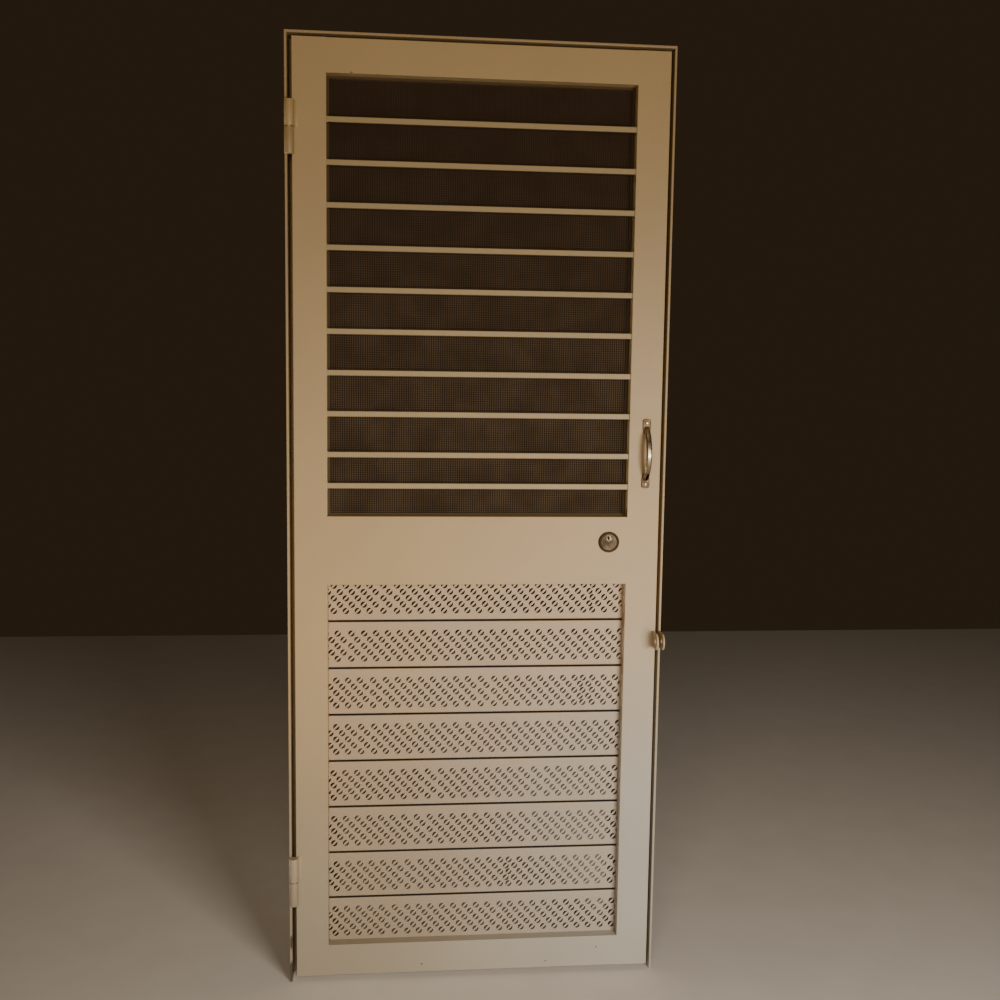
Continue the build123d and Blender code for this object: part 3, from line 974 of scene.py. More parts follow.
@dataclass
class GuardBars:
    """Square bars across the upper opening, with a small weld in each corner at the stiles."""

    count: int = 10
    weld_leg: float = 3.0
    weld_root: float = 0.4
    weld_inset: float = 1.2

    def corner_weld(self, work: bmesh.types.BMesh, stile: tuple, level: tuple, depth: tuple) -> None:
        """Add one hollow-faced weld between a bar's top or underside and a stile.

        Args:
            work: The geometry to add to.
            stile: X of the stile's inner face, and one or minus one for the way into the opening.
            level: Z of the bar's top or underside, and one or minus one for the way off the bar.
            depth: Y of the weld's front and back ends.
        """
        leg = self.weld_leg
        root = -self.weld_root
        outline = [
            (root, root), (leg, root), (leg, 0.0), (0.45 * leg, 0.2 * leg), (0.2 * leg, 0.45 * leg),
            (0.0, leg), (root, leg),
        ]
        edge, inward = stile
        surface, off = level
        rings = [
            [work.verts.new(((edge + inward * a) * MM, y * MM, (surface + off * b) * MM)) for a, b in outline]
            for y in depth
        ]
        skin_rings(work, rings)

    def build(self, paints: Paintbox) -> list[bpy.types.Object]:
        """Paint the bars and add their welds.

        Args:
            paints: The finishes.

        Returns:
            The objects shown.
        """
        paint = paints.get(Finish.BAR_PAINT)
        bars = [f"guard_bar_{number:02d}" for number in range(1, self.count + 1)]
        shown = [dress(bar, paint) for bar in bars]
        work = bmesh.new()
        for bar in bars:
            low, high = box_in_mm(bar)
            depth = (low.y + self.weld_inset, high.y - self.weld_inset)
            for stile in ((low.x, 1), (high.x, -1)):
                for level in ((high.z, 1), (low.z, -1)):
                    self.corner_weld(work, stile, level, depth)
        welds = object_from("guard_bar_welds", mesh_from("guard_bar_welds", work), paint)
        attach(welds, "leaf")
        return shown + [welds]


@dataclass
class MeshScreen:
    """Fly mesh of flat yarns in two layers, in its channel frame.

    Real fly mesh has a yarn every 1.2 mm or so, too fine to show in the picture. It is laid about twice
    as coarse, so that it still reads as woven.
    """

    pitch: float = 2.5
    yarn_width: float = 1.4
    yarn_thickness: float = 0.4
    yarn_sides: int = 6
    drift: float = 0.04
    seed: int = 7

    def layer(self, tree: bpy.types.NodeTree, given: dict, upright: bool) -> bpy.types.Node:
        """Lay one layer of yarn.

        Args:
            tree: The geometry tree.
            given: The tree's inputs by name.
            upright: Whether these are the upright yarns, in front, or the level ones behind.

        Returns:
            The yarns as instances.
        """
        count = given["Upright yarns"] if upright else given["Level yarns"]
        span = given["Height"] if upright else given["Width"]
        half = add_node(tree, Kind.MATH, {0: given["Yarn thickness"], 1: 0.5}, operation="MULTIPLY")
        side = "SUBTRACT" if upright else "ADD"
        depth = add_node(tree, Kind.MATH, {0: given["Middle"], 1: half}, operation=side)
        along = add_node(tree, Kind.MATH, {0: span, 1: 0.5}, operation="MULTIPLY")
        starts = []
        shifts = (0.0, along) if upright else (along, 0.0)
        for edge, shift in zip((given["Left"], given["Bottom"]), shifts):
            starts.append(add_node(tree, Kind.MATH, {0: edge, 1: shift}, operation="ADD"))
        start = add_node(tree, Kind.COMBINE, {"X": starts[0], "Y": depth, "Z": starts[1]})
        step = add_node(tree, Kind.COMBINE, {"X" if upright else "Z": given["Pitch"]})
        line = add_node(tree, Kind.LINE, {"Count": count, "Start Location": start, "Offset": step})
        yarn = add_node(
            tree, Kind.CYLINDER, {"Vertices": self.yarn_sides, "Radius": 0.5, "Depth": span}, fill_type="NONE"
        )
        size = add_node(
            tree, Kind.COMBINE, {"X": given["Yarn width"], "Y": given["Yarn thickness"], "Z": 1.0}
        )
        flat = add_node(tree, Kind.TRANSFORM, {"Geometry": yarn, "Scale": size})
        turn = (0.0, 0.0, 0.0) if upright else (0.0, math.pi / 2, 0.0)
        laid = add_node(tree, Kind.TRANSFORM, {"Geometry": flat, "Rotation": turn})
        return add_node(tree, Kind.INSTANCES, {"Points": line, "Instance": laid})

    def tree(self) -> bpy.types.NodeTree:
        """Build the tree that lays both layers of yarn.

        Returns:
            The geometry tree.
        """
        floats = ("Left", "Bottom", "Width", "Height", "Middle", "Pitch", "Yarn width", "Yarn thickness")
        tree, given = new_tree("Woven mesh", floats, ("Upright yarns", "Level yarns", "Seed"))
        layers = [self.layer(tree, given, upright) for upright in (True, False)]
        joined = add_node(tree, Kind.JOIN, {"Geometry": layers})
        real = add_node(tree, Kind.REALIZE, {"Geometry": joined})
        drift = add_node(
            tree, Kind.RANDOM, {"Min": -self.drift * MM, "Max": self.drift * MM, "Seed": given["Seed"]},
            data_type="FLOAT"
        )
        shift = add_node(tree, Kind.COMBINE, {"X": drift})
        moved = add_node(tree, Kind.SET_POSITION, {"Geometry": real, "Offset": shift})
        painted = add_node(tree, Kind.SET_MATERIAL, {"Geometry": moved, "Material": given["Material"]})
        add_node(tree, Kind.TREE_OUTPUT, {"Geometry": painted})
        return tree

    def build(self, paints: Paintbox) -> list[bpy.types.Object]:
        """Lay the mesh over its CAD panel's area and give the channels painted shade.

        Args:
            paints: The finishes.

        Returns:
            The objects shown.
        """
        low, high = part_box("mesh_screen")
        margin = self.yarn_width * MM / 2
        width = high.x - low.x - 2 * margin
        height = high.z - low.z - 2 * margin
        values = {
            "Left": low.x + margin,
            "Bottom": low.z + margin,
            "Width": width,
            "Height": height,
            "Middle": (low.y + high.y) / 2,
            "Pitch": self.pitch * MM,
            "Yarn width": self.yarn_width * MM,
            "Yarn thickness": self.yarn_thickness * MM,
            "Upright yarns": int(width / (self.pitch * MM)) + 1,
            "Level yarns": int(height / (self.pitch * MM)) + 1,
            "Seed": self.seed,
            "Material": paints.get(Finish.YARN),
        }
        screen = object_from("woven_fly_mesh", run_tree("woven_fly_mesh", self.tree(), values))
        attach(screen, "leaf")
        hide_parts("mesh_screen")
        # The channels get the dark brown of painted shade.
        paint = paints.get(Finish.SHADE_BROWN_PAINT)
        return [dress(node, paint) for node in ("mesh_channel_stiles", "mesh_channel_rails")] + [screen]


@dataclass(frozen=True)
class PunchedStrip:
    """Where the press set the columns of one plank's holes.

    Columns stand half a pitch apart and carry the odd and even rows by turns. The press works in
    strokes of eighteen columns, and where two strokes meet the next columns are shifted a little.
    """

    first_column: float
    first_joint: int
    shifts: tuple


class PlankEdge(Enum):
    """How a plank ends at its top or bottom."""

    BENT = "bent back"
    CUT = "cut to the opening"


@dataclass
class PunchedPlanks:
    """Folded planks with rows of round holes, each with a raised bridge across it."""

    pitch: float = 107.9
    joint: float = 2.5
    sheet: float = 1.2
    bend: float = 4.0
    bend_steps: int = 4
    corner: float = 5.0
    corner_cuts: tuple = (22.5, 45.0, 67.5)
    half_pitch: float = 13.25
    row_pitch: float = 14.4
    first_row: float = 28.4
    rows: int = 5
    columns: int = 55
    stroke: int = 18
    scatter: float = 0.15
    hole: float = 7.15
    hole_sides: int = 28
    rise: float = 1.0
    swell: float = 0.42
    strap_grid: tuple = (7, 3)
    weld: float = 0.02
    trim_reach: float = 0.002
    fold_reach: float = 0.01
    spare_columns: int = 2
    end_margin: float = 1.05
    spare_length: float = 3.0
    shift_names: tuple = ("Shift 1", "Shift 2", "Shift 3", "Shift 4", "Shift 5", "Shift 6")
    strips: tuple = (
        PunchedStrip(99.5, 8, (4.4, 3.8, 0.1, 0.9, -5.8, 0.4)),
        PunchedStrip(107.7, 2, (4.2, 2.2, -0.1, -1.2, 1.3, 1.3)),
        PunchedStrip(104.4, 6, (3.3, 2.4, 3.6, 4.2, -7.2, -4.2)),
        PunchedStrip(104.2, 4, (3.3, 2.8, 2.0, 2.1, 1.9, 0.0)),
        PunchedStrip(98.1, 16, (2.0, 4.0, 2.9, 4.2, 0.0, 0.0)),
        PunchedStrip(99.4, 14, (2.5, 3.1, 2.0, 3.8, 0.0, 0.0)),
        PunchedStrip(104.9, 12, (3.1, 3.2, -7.1, -0.9, 2.9, 0.0)),
        PunchedStrip(101.6, 10, (3.3, 3.2, 2.6, -2.1, 2.5, 0.0)),
    )

    def tree(self) -> bpy.types.NodeTree:
        """Build the tree that makes one punched sheet, flat, from its hole pattern.

        Returns:
            The geometry tree.
        """
        floats = (
            "Left", "Right", "Bottom", "Top", "First column", "First row", "Half pitch", "Row pitch",
            "Hole radius", "Bridge rise", "Bridge swell", "Front", *self.shift_names
        )
        integers = ("Columns", "Rows", "Stroke", "First joint", "Seed")
        tree, given = new_tree("Punched sheet", floats, integers)
        centres = self.centres(tree, given)
        skin = self.skin(tree, given, centres)
        straps = add_node(
            tree, Kind.INSTANCES, {"Points": centres, "Instance": self.bridge(tree, given)}
        )
        sheet = add_node(tree, Kind.JOIN, {"Geometry": [skin, straps]})
        real = add_node(tree, Kind.REALIZE, {"Geometry": sheet})
        welded = add_node(tree, Kind.MERGE, {"Geometry": real, "Distance": self.weld * MM})
        front = add_node(tree, Kind.COMBINE, {"Y": given["Front"]})
        upright = (math.pi / 2, 0.0, 0.0)
        stood = add_node(
            tree, Kind.TRANSFORM, {"Geometry": welded, "Rotation": upright, "Translation": front}
        )
        painted = add_node(tree, Kind.SET_MATERIAL, {"Geometry": stood, "Material": given["Material"]})
        add_node(tree, Kind.TREE_OUTPUT, {"Geometry": painted})
        return tree

    def column_places(self, tree: bpy.types.NodeTree, given: dict, column: bpy.types.Node) -> tuple:
        """Work out where each column of holes stands, with the press's shifts and a little scatter.

        Args:
            tree: The geometry tree.
            given: The tree's inputs by name.
            column: The column's number on the grid.

        Returns:
            The column's number counted from the first full one, and its X.
        """
        number = add_node(tree, Kind.MATH, {0: column, 1: self.spare_columns}, operation="SUBTRACT")
        x = add_node(
            tree, Kind.MATH, {0: number, 1: given["Half pitch"], 2: given["First column"]},
            operation="MULTIPLY_ADD"
        )
        for place, name in enumerate(self.shift_names):
            joint = add_node(
                tree, Kind.MATH, {0: given["Stroke"], 1: float(place // 2), 2: given["First joint"]},
                operation="MULTIPLY_ADD"
            )
            edge = add_node(tree, Kind.MATH, {0: joint, 1: 2.0 * (place % 2) - 0.5}, operation="ADD")
            passed = add_node(tree, Kind.MATH, {0: number, 1: edge}, operation="GREATER_THAN")
            x = add_node(tree, Kind.MATH, {0: passed, 1: given[name], 2: x}, operation="MULTIPLY_ADD")
        scatter = add_node(
            tree, Kind.RANDOM,
            {"Min": -self.scatter * MM, "Max": self.scatter * MM, "ID": column, "Seed": given["Seed"]},
            data_type="FLOAT"
        )
        return number, add_node(tree, Kind.MATH, {0: x, 1: scatter}, operation="ADD")

    def centres(self, tree: bpy.types.NodeTree, given: dict) -> bpy.types.Node:
        """Set out the holes' centres on a flat sheet.

        Args:
            tree: The geometry tree.
            given: The tree's inputs by name.

        Returns:
            One point for each hole, on every other place of the grid and inside the plank's ends.
        """
        index = add_node(tree, Kind.INDEX)
        row = add_node(tree, Kind.MATH, {0: index, 1: given["Rows"]}, operation="MODULO")
        inner = add_node(tree, Kind.MATH, {0: index, 1: 0.5}, operation="ADD")
        share = add_node(tree, Kind.MATH, {0: inner, 1: given["Rows"]}, operation="DIVIDE")
        column = add_node(tree, Kind.MATH, {0: share}, operation="FLOOR")
        number, x = self.column_places(tree, given, column)
        drop = add_node(tree, Kind.MATH, {0: row, 1: given["Row pitch"]}, operation="MULTIPLY")
        y = add_node(tree, Kind.MATH, {0: given["First row"], 1: drop}, operation="SUBTRACT")
        grid = add_node(tree, Kind.GRID, {"Vertices X": given["Columns"], "Vertices Y": given["Rows"]})
        spot = add_node(tree, Kind.COMBINE, {"X": x, "Y": y})
        placed = add_node(tree, Kind.SET_POSITION, {"Geometry": grid, "Position": spot})
        both = add_node(tree, Kind.MATH, {0: number, 1: row}, operation="ADD")
        empty = add_node(tree, Kind.MATH, {0: both, 1: 1.0}, operation="PINGPONG")
        margin = add_node(
            tree, Kind.MATH, {0: given["Hole radius"], 1: self.end_margin}, operation="MULTIPLY"
        )
        for edge, way, beyond in (("Left", "SUBTRACT", "LESS_THAN"), ("Right", "ADD", "GREATER_THAN")):
            limit = add_node(tree, Kind.MATH, {0: given[edge], 1: margin}, operation=way)
            past = add_node(tree, Kind.MATH, {0: x, 1: limit}, operation=beyond)
            empty = add_node(tree, Kind.MATH, {0: empty, 1: past}, operation="ADD")
        dropped = add_node(tree, Kind.MATH, {0: empty, 1: 0.5}, operation="GREATER_THAN")
        tagged = add_node(
            tree, Kind.STORE, {"Geometry": placed, "Name": "drop", "Value": dropped},
            data_type="FLOAT", domain="POINT"
        )
        tag = add_node(tree, Kind.STORED, {"Name": "drop"}, data_type="FLOAT")
        kept = add_node(
            tree, Kind.DELETE, {"Geometry": tagged, "Selection": tag}, domain="POINT", mode="ALL"
        )
        return add_node(tree, Kind.TO_POINTS, {"Mesh": kept})

    def skin(self, tree: bpy.types.NodeTree, given: dict, centres: bpy.types.Node) -> bpy.types.Node:
        """Fill the sheet between its border and its round holes.

        Args:
            tree: The geometry tree.
            given: The tree's inputs by name.
            centres: The holes' centres.

        Returns:
            The flat sheet, a little longer than the plank, to be trimmed.
        """
        circle = add_node(
            tree, Kind.CIRCLE, {"Resolution": self.hole_sides, "Radius": given["Hole radius"]}
        )
        half_side = (0.0, 0.0, math.pi / self.hole_sides)
        turned = add_node(tree, Kind.TRANSFORM, {"Geometry": circle, "Rotation": half_side})
        rings = add_node(tree, Kind.INSTANCES, {"Points": centres, "Instance": turned})
        holes = add_node(tree, Kind.REALIZE, {"Geometry": rings})
        spare = add_node(
            tree, Kind.MATH, {0: given["Hole radius"], 1: self.spare_length}, operation="MULTIPLY"
        )
        west = add_node(tree, Kind.MATH, {0: given["Left"], 1: spare}, operation="SUBTRACT")
        east = add_node(tree, Kind.MATH, {0: given["Right"], 1: spare}, operation="ADD")
        corners = ((west, "Bottom"), (east, "Bottom"), (east, "Top"), (west, "Top"))
        points = {
            f"Point {number}": add_node(tree, Kind.COMBINE, {"X": x, "Y": given[level]})
            for number, (x, level) in enumerate(corners, start=1)
        }
        border = add_node(tree, Kind.FOUR_SIDED, points, mode="POINTS")
        outline = add_node(tree, Kind.JOIN, {"Geometry": [holes, border]})
        return add_node(tree, Kind.FILL, {"Curve": outline}, mode="TRIANGLES")

    def bridge(self, tree: bpy.types.NodeTree, given: dict) -> bpy.types.Node:
        """Make the raised strap across one hole, with its ends on the hole's edge.

        Args:
            tree: The geometry tree.
            given: The tree's inputs by name.

        Returns:
            The strap's geometry, turned to rise from lower left to upper right.
        """
        long_count, cross_count = self.strap_grid
        strip = add_node(
            tree, Kind.GRID,
            {"Size X": 2.0, "Size Y": 2.0, "Vertices X": long_count, "Vertices Y": cross_count}
        )
        along, across, _ = add_node(tree, Kind.SEPARATE, {"Vector": add_node(tree, Kind.POSITION)}).outputs
        radius = given["Hole radius"]
        narrow = math.sin(2 * math.pi / self.hole_sides)
        half_width = add_node(tree, Kind.MATH, {0: radius, 1: narrow}, operation="MULTIPLY")
        side = add_node(tree, Kind.MATH, {0: across, 1: half_width}, operation="MULTIPLY")
        squares = [
            add_node(tree, Kind.MATH, {0: value, 1: value}, operation="MULTIPLY")
            for value in (radius, side, along)
        ]
        rest = add_node(tree, Kind.MATH, {0: squares[0], 1: squares[1]}, operation="SUBTRACT")
        reach = add_node(tree, Kind.MATH, {0: rest}, operation="SQRT")
        arch = add_node(tree, Kind.MATH, {0: 1.0, 1: squares[2]}, operation="SUBTRACT")
        wider = add_node(
            tree, Kind.MATH, {0: arch, 1: given["Bridge swell"], 2: 1.0}, operation="MULTIPLY_ADD"
        )
        spot = add_node(
            tree, Kind.COMBINE,
            {
                "X": add_node(tree, Kind.MATH, {0: along, 1: reach}, operation="MULTIPLY"),
                "Y": add_node(tree, Kind.MATH, {0: side, 1: wider}, operation="MULTIPLY"),
                "Z": add_node(tree, Kind.MATH, {0: arch, 1: given["Bridge rise"]}, operation="MULTIPLY"),
            }
        )
        shaped = add_node(tree, Kind.SET_POSITION, {"Geometry": strip, "Position": spot})
        return add_node(tree, Kind.TRANSFORM, {"Geometry": shaped, "Rotation": (0.0, 0.0, math.pi / 4)})

    def trim(self, work: bmesh.types.BMesh, point: tuple, outward: tuple) -> None:
        """Cut the sheet off along a line.

        Args:
            work: The sheet.
            point: X and Z of a point on the line, in millimetres.
            outward: X and Z of the direction away from what stays.
        """
        across, up = point
        away_across, away_up = outward
        keep_what_is_inside(work, (across, 0.0, up), (away_across, 0.0, away_up), self.trim_reach)

    def round_corners(self, work: bmesh.types.BMesh, low: Vector, high: Vector) -> None:
        """Cut both lower corners of the lowest plank round, to the opening's welds.

        Args:
            work: The sheet.
            low: The plank's lowest corner, in millimetres.
            high: The plank's highest corner, in millimetres.
        """
        for side, end in ((-1, low.x), (1, high.x)):
            centre = (end - side * self.corner, low.z + self.corner)
            for angle in self.corner_cuts:
                away = (side * math.cos(math.radians(angle)), -math.sin(math.radians(angle)))
                point = (centre[0] + self.corner * away[0], centre[1] + self.corner * away[1])
                self.trim(work, point, away)

    def fold(self, work: bmesh.types.BMesh, line: float, outward: int, front: float, back: float) -> None:
        """Bend the sheet back along its top or bottom edge.

        Args:
            work: The sheet.
            line: Z of the flat sheet's edge, in millimetres.
            outward: One for a top edge, minus one for a bottom edge.
            front: Y of the sheet's face.
            back: Y where the folded edge ends.
        """
        turns = (math.radians(90 * part / self.bend_steps) for part in range(1, self.bend_steps + 1))
        steps = [(self.bend * math.sin(turn), self.bend * (1 - math.cos(turn))) for turn in turns]
        steps.append((self.bend, back - front))
        near = self.fold_reach * MM
        edges = [
            edge for edge in work.edges
            if edge.is_boundary and all(abs(vert.co.z - line * MM) < near for vert in edge.verts)
        ]
        for rise, depth in steps:
            grown = bmesh.ops.extrude_edge_only(work, edges=edges)["geom"]
            for vert in (item for item in grown if isinstance(item, bmesh.types.BMVert)):
                vert.co.z = (line + outward * rise) * MM
                vert.co.y = (front + depth) * MM
            edges = [item for item in grown if isinstance(item, bmesh.types.BMEdge)]

    def plank(self, number: int, tree: bpy.types.NodeTree, paint: bpy.types.Material) -> bpy.types.Object:
        """Make one plank over its CAD node.

        Args:
            number: The plank's number, from one at the top.
            tree: The punched sheet's tree.
            paint: The finish.

        Returns:
            The plank's object.
        """
        low, high = box_in_mm(f"plank_{number}")
        strip = self.strips[number - 1]
        top_edge = PlankEdge.CUT if number == 1 else PlankEdge.BENT
        foot_edge = PlankEdge.CUT if number == len(self.strips) else PlankEdge.BENT
        if top_edge is PlankEdge.BENT:
            joint_above = high.z + self.joint / 2
            flat_top = high.z - self.bend
        else:
            joint_above = low.z + self.pitch
            flat_top = joint_above - self.joint / 2
        flat_foot = low.z + self.bend if foot_edge is PlankEdge.BENT else low.z
        lengths = {
            "Left": low.x,
            "Right": high.x,
            "Bottom": flat_foot,
            "Top": flat_top,
            "First column": strip.first_column,
            "First row": joint_above - self.first_row,
            "Half pitch": self.half_pitch,
            "Row pitch": self.row_pitch,
            "Hole radius": self.hole,
            "Bridge rise": self.rise,
            "Front": low.y,
            **dict(zip(self.shift_names, strip.shifts)),
        }
        values = {
            **{name: length * MM for name, length in lengths.items()},
            "Bridge swell": self.swell,
            "Columns": self.columns,
            "Rows": self.rows,
            "Stroke": self.stroke,
            "First joint": strip.first_joint,
            "Seed": number,
            "Material": paint,
        }
        name = f"punched_plank_{number}"
        sheet = run_tree(name, tree, values)
        work = bmesh.new()
        work.from_mesh(sheet)
        self.trim(work, (low.x, 0), (-1, 0))
        self.trim(work, (high.x, 0), (1, 0))
        if top_edge is PlankEdge.CUT:
            self.trim(work, (0, high.z), (0, 1))
        else:
            self.fold(work, flat_top, 1, low.y, high.y)
        if foot_edge is PlankEdge.CUT:
            self.round_corners(work, low, high)
        else:
            self.fold(work, flat_foot, -1, low.y, high.y)
        work.normal_update()
        bmesh.ops.recalc_face_normals(work, faces=work.faces[:])
        if sum(face.normal.y * face.calc_area() for face in work.faces) > 0:
            bmesh.ops.reverse_faces(work, faces=work.faces[:])
        work.to_mesh(sheet)
        work.free()
        made = object_from(name, sheet, paint)
        solid = made.modifiers.new("Sheet thickness", "SOLIDIFY")
        solid.thickness = self.sheet * MM
        solid.offset = -1.0
        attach(made, "leaf")
        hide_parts(f"plank_{number}")
        return made

    def build(self, paints: Paintbox) -> list[bpy.types.Object]:
        """Make all the planks and give their cleats painted shade.

        Args:
            paints: The finishes.

        Returns:
            The objects shown.
        """
        tree = self.tree()
        paint = paints.get(Finish.PLANK_PAINT)
        planks = [self.plank(number, tree, paint) for number in range(1, len(self.strips) + 1)]
        # The cleats behind the holes get the dark brown of painted shade.
        return planks + [dress("plank_cleats", paints.get(Finish.SHADE_BROWN_PAINT))]


@dataclass
class WeldOnHinges:
    """Two weld-on hinges with brass washers."""

    ease: float = 0.8

    def build(self, paints: Paintbox) -> list[bpy.types.Object]:
        """Paint the hinges.

        Args:
            paints: The finishes.

        Returns:
            The objects shown.
        """
        halves = [
            dress(f"{place}_hinge_{half}_half", paints.get(finish), self.ease)
            for place in ("upper", "lower")
            for half, finish in (("pin", Finish.FRAME_PAINT), ("leaf", Finish.LEAF_PAINT))
        ]
        return halves + [dress("hinge_washers", paints.get(Finish.BRASS))]


@dataclass
class PadlockLugs:
    """The two lugs that a padlock goes through."""

    ease: float = 0.6

    def build(self, paints: Paintbox) -> list[bpy.types.Object]:
        """Paint the lugs.

        Args:
            paints: The finishes.

        Returns:
            The objects shown.
        """
        return [
            dress("leaf_padlock_lug", paints.get(Finish.LEAF_PAINT), self.ease),
            dress("frame_padlock_lug", paints.get(Finish.FRAME_PAINT), self.ease),
        ]


@dataclass
class PullHandle:
    """Arched pull handle on two pads, with its screws. Its place and overall size are its CAD node's."""

    pad_length: float = 21.0
    pad_taper: float = 13.0
    pad_thickness: float = 3.0
    pad_corner: float = 3.0
    end_bulge: float = 1.5
    grip_width: float = 12.0
    grip_thickness: float = 8.0
    front_round: float = 3.4
    back_round: float = 1.5
    steps: int = 48
    screw_ease: float = 0.3
    x: float = field(init=False)
    z: float = field(init=False)
    pad_width: float = field(init=False)
    length: float = field(init=False)
    reach: float = field(init=False)

    def __post_init__(self) -> None:
        """Take the place and overall size from the CAD node."""
        low, high = box_in_mm("pull_handle")
        self.x = (low.x + high.x) / 2
        self.z = (low.z + high.z) / 2
        self.pad_width = high.x - low.x
        self.length = high.z - low.z
        self.reach = high.y - low.y

    def section(self) -> list[tuple[float, float]]:
        """Round-fronted section of the grip.

        Returns:
            Points as (across, outwards) in millimetres, in order.
        """
        points = []
        corners = (
            (1, 1, self.front_round, 0),
            (-1, 1, self.front_round, 90),
            (-1, -1, self.back_round, 180),
            (1, -1, self.back_round, 270),
        )
        for side, front, radius, start in corners:
            centre = (side * (self.grip_width / 2 - radius), front * (self.grip_thickness / 2 - radius))
            for part in range(7):
                angle = math.radians(start + 15 * part)
                points.append((centre[0] + radius * math.cos(angle), centre[1] + radius * math.sin(angle)))
        return points

    def grip(self, work: bmesh.types.BMesh) -> None:
        """Turn the grip's section along its arch and cut both feet inside the pads.

        Args:
            work: The geometry to add to.
        """
        half_span = self.length / 2 - self.pad_length
        crown = self.reach - self.grip_thickness / 2
        rise = crown - self.pad_thickness / 2
        radius = (half_span ** 2 + rise ** 2) / (2 * rise)
        half_turn = math.asin(half_span / radius) + self.grip_thickness / radius
        rings = []
        for step in range(self.steps + 1):
            angle = half_turn * (2 * step / self.steps - 1)
            ring = []
            for across, outwards in self.section():
                out = radius + outwards
                y = FACE - (crown - radius + out * math.cos(angle))
                z = self.z + out * math.sin(angle)
                ring.append(work.verts.new(((self.x + across) * MM, y * MM, z * MM)))
            rings.append(ring)
        skin_rings(work, rings, capped=False)
        inside_pad = (0.0, FACE - self.pad_thickness / 2, 0.0)
        edges = keep_what_is_inside(work, inside_pad, (0.0, 1.0, 0.0), 0.001)
        bmesh.ops.holes_fill(work, edges=edges, sides=0)

    def pad_outline(self) -> list[tuple[float, float]]:
        """Outline of one pad, with a bulged and rounded end and a taper under the grip.

        Returns:
            Points as (across, along) in millimetres, measured from the handle's middle.
        """
        half = self.pad_width / 2
        end = self.length / 2
        shoulder = end - self.pad_length
        inner = shoulder - self.pad_taper
        start = end - self.end_bulge - self.pad_corner
        outline = [(half, shoulder), (half, start)]
        for degrees in (24, 54, 84):
            turn = math.radians(degrees)
            across = half - self.pad_corner * (1 - math.cos(turn))
            outline.append((across, start + self.pad_corner * math.sin(turn)))
        outline.append((0.0, end))
        outline += [(-across, along) for across, along in outline[-2::-1]]
        return outline + [(-self.grip_width / 2, inner), (self.grip_width / 2, inner)]

    def pad(self, work: bmesh.types.BMesh, side: int) -> None:
        """Add one flat pad with eased edges.

        Args:
            work: The geometry to add to.
            side: One for the upper pad, minus one for the lower.
        """
        half = self.pad_width / 2
        outline = self.pad_outline()
        levels = [along for _, along in outline]
        middle = (max(levels) + min(levels)) / 2
        half_length = max(levels) - middle
        rings = []
        for inset, short in ((0.0, self.pad_thickness), (0.0, 0.7), (0.35, 0.2), (0.9, 0.0)):
            y = FACE - (self.pad_thickness - short)
            narrower = 1 - inset / half
            shorter = 1 - inset / half_length
            ring = []
            for across, along in outline:
                x = self.x + across * narrower
                z = self.z + side * (middle + (along - middle) * shorter)
                ring.append(work.verts.new((x * MM, y * MM, z * MM)))
            rings.append(ring)
        skin_rings(work, rings)

    def build(self, paints: Paintbox) -> list[bpy.types.Object]:
        """Shape the handle and plate it and its screws.

        Args:
            paints: The finishes.

        Returns:
            The objects shown.
        """
        work = bmesh.new()
        self.grip(work)
        self.pad(work, 1)
        self.pad(work, -1)
        mesh = mesh_from("arched_pull_handle", work)
        for polygon in mesh.polygons:
            polygon.use_smooth = True
        mesh.set_sharp_from_angle(angle=math.radians(35))
        handle = object_from("arched_pull_handle", mesh, paints.get(Finish.NICKEL))
        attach(handle, "leaf")
        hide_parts("pull_handle")
        return [handle, dress("handle_screws", paints.get(Finish.SCREW), self.screw_ease)]


@dataclass
class RimLock:
    """Ring, cylinder and key plug on the face, case and bolt on the back."""

    cylinder_ease: float = 0.5
    plug_ease: float = 0.3

    def build(self, paints: Paintbox) -> list[bpy.types.Object]:
        """Finish the lock.

        Args:
            paints: The finishes.

        Returns:
            The objects shown.
        """
        return [
            dress("lock_ring", paints.get(Finish.AGED_NICKEL)),
            dress("lock_cylinder", paints.get(Finish.AGED_NICKEL), self.cylinder_ease),
            dress("key_plug", paints.get(Finish.PLUG_NICKEL), self.plug_ease),
            dress("lock_case", paints.get(Finish.CASE_PAINT)),
            dress("lock_bolt", paints.get(Finish.DRAWN_STEEL)),
        ]


# Studio


@dataclass(frozen=True)
class SoftLight:
    """One soft area light, aimed at a point."""

    name: str
    place: tuple
    target: tuple
    size: float
    power: float
    tone: str
    spread: float = 180.0

    def build(self) -> bpy.types.Object:
        """Hang the light.

        Returns:
            The light's object.
        """
        data = bpy.data.lights.new(self.name, "AREA")
        data.shape = "SQUARE"
        data.size = self.size
        data.energy = self.power
        data.color = linear(self.tone)[:3]
        data.spread = math.radians(self.spread)
        made = bpy.data.objects.new(self.name, data)
        made.visible_camera = False
        aim = Vector(self.target) - Vector(self.place)
        turn = aim.to_track_quat("-Z", "Y").to_matrix().to_4x4()
        made.matrix_world = Matrix.Translation(self.place) @ turn
        bpy.context.scene.collection.objects.link(made)
        return made


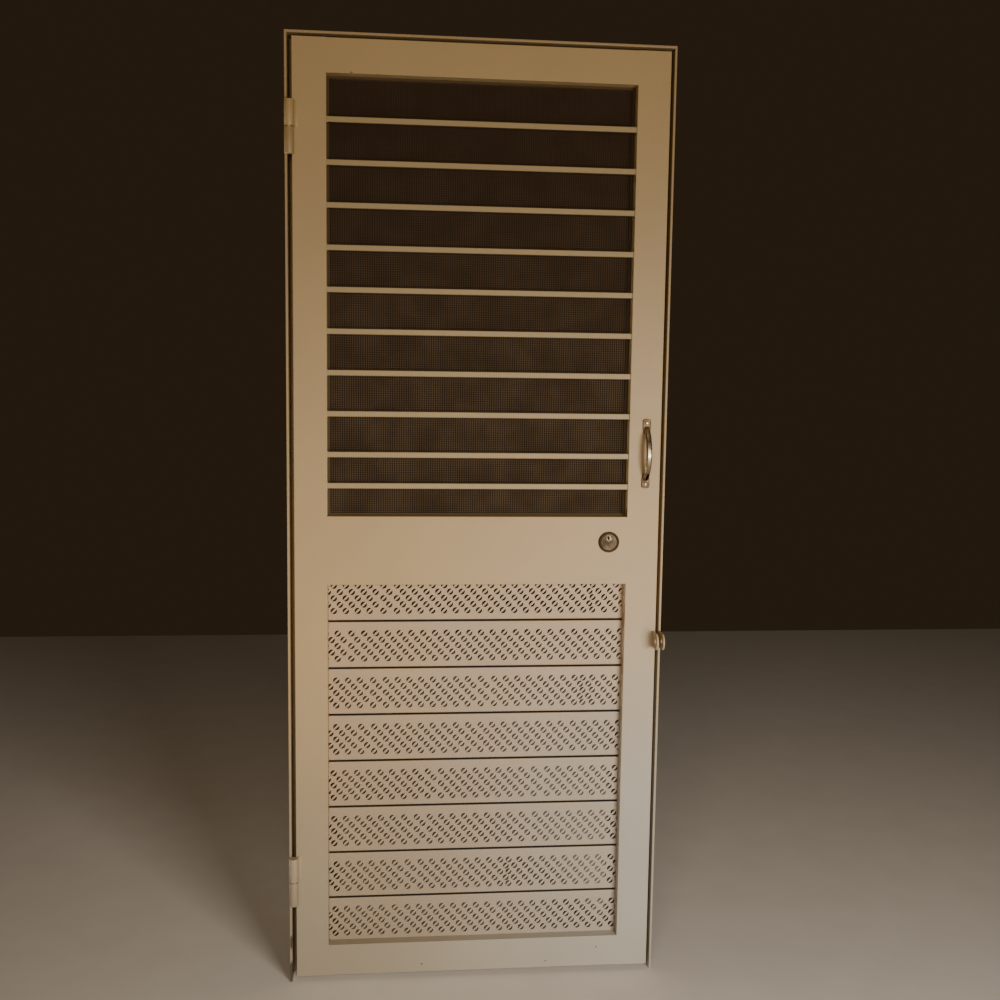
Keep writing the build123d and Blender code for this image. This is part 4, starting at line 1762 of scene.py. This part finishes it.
@dataclass
class Studio:
    """Pale floor, soft light and the camera where the picture was taken from, all in metres.

    The back and side lights stand low and aim up, so that the floor seen through the planks' holes
    stays dark, and to the side, so that no level face mirrors them into the camera.
    """

    floor_size: float = 7.0
    door_middle: float = 0.42
    camera_place: tuple = (0.2279, -2.4845, 1.3759)
    pan: float = 5.563
    tilt: float = -6.107
    roll: float = 0.780
    lens: float = 40.217
    film_width: float = 36.0
    sky_tone: str = "2A2015"
    sky_strength: float = 1.0
    lights: tuple = (
        SoftLight("key light", (1.5, -2.8, 1.0), (0.42, 0.0, 0.8), 1.0, 84.0, "FFF6EC"),
        SoftLight("fill light", (-0.1, -3.0, 1.8), (0.42, 0.0, 1.1), 1.0, 27.0, "FFE9CE"),
        SoftLight("overhead light", (0.42, -1.0, 3.6), (0.42, -0.4, 1.0), 2.0, 8.0, "FFE6C8"),
        SoftLight("back light", (-1.6, 1.6, 0.25), (0.42, 0.0, 1.35), 0.45, 15.0, "FFF8F0", 60.0),
        SoftLight("hinge side light", (-2.2, 0.4, 0.3), (0.0, 0.05, 1.4), 0.45, 7.0, "FFF8F0", 60.0),
    )

    def build(self, paints: Paintbox) -> list[bpy.types.Object]:
        """Lay the floor, hang the lights and place the camera.

        Args:
            paints: The finishes.

        Returns:
            The stage objects.
        """
        half = self.floor_size / 2
        corners = ((-half, -half), (half, -half), (half, half), (-half, half))
        work = bmesh.new()
        work.faces.new([work.verts.new((self.door_middle + x, y, 0.0)) for x, y in corners])
        mesh = bpy.data.meshes.new("studio_floor")
        work.to_mesh(mesh)
        work.free()
        floor = object_from("studio_floor", mesh, paints.get(Finish.FLOOR))
        shown = [floor] + [light.build() for light in self.lights]
        self.light_the_air()
        self.place_camera()
        return shown

    def light_the_air(self) -> None:
        """Give the world its even, quiet tone."""
        world = bpy.data.worlds.new("studio air")
        world.use_nodes = True
        tree = world.node_tree
        tree.nodes.clear()
        glow = add_node(
            tree, Kind.BACKGROUND, {"Color": linear(self.sky_tone), "Strength": self.sky_strength}
        )
        add_node(tree, Kind.WORLD_OUTPUT, {"Surface": glow})
        bpy.context.scene.world = world

    def place_camera(self) -> None:
        """Stand the camera at the picture's own viewpoint."""
        pan, tilt, roll = (math.radians(value) for value in (self.pan, self.tilt, self.roll))
        forward = Vector((math.sin(pan) * math.cos(tilt), math.cos(pan) * math.cos(tilt), math.sin(tilt)))
        level = Vector((math.cos(pan), -math.sin(pan), 0.0))
        upright = level.cross(forward)
        right = level * math.cos(roll) + upright * math.sin(roll)
        up = upright * math.cos(roll) - level * math.sin(roll)
        data = bpy.data.cameras.new("camera")
        data.lens = self.lens
        data.sensor_width = self.film_width
        camera = bpy.data.objects.new("camera", data)
        turn = Matrix((right, up, -forward)).transposed()
        camera.matrix_world = Matrix.Translation(self.camera_place) @ turn.to_4x4()
        bpy.context.scene.collection.objects.link(camera)
        bpy.context.scene.camera = camera


def main() -> None:
    """Build every sub-assembly in order and report its pieces."""
    logging.basicConfig(level=logging.INFO, format="%(message)s")
    paints = Paintbox()
    parts = (
        SteelFrame(), LeafTubes(), GuardBars(), MeshScreen(), PunchedPlanks(), WeldOnHinges(),
        PadlockLugs(), PullHandle(), RimLock(), Studio(),
    )
    for part in parts:
        for made in part.build(paints):
            count = len(made.data.polygons) if made.type == "MESH" else 0
            log.info("%s: %s, %d faces", type(part).__name__, made.name, count)


if __name__ == "__main__":
    main()
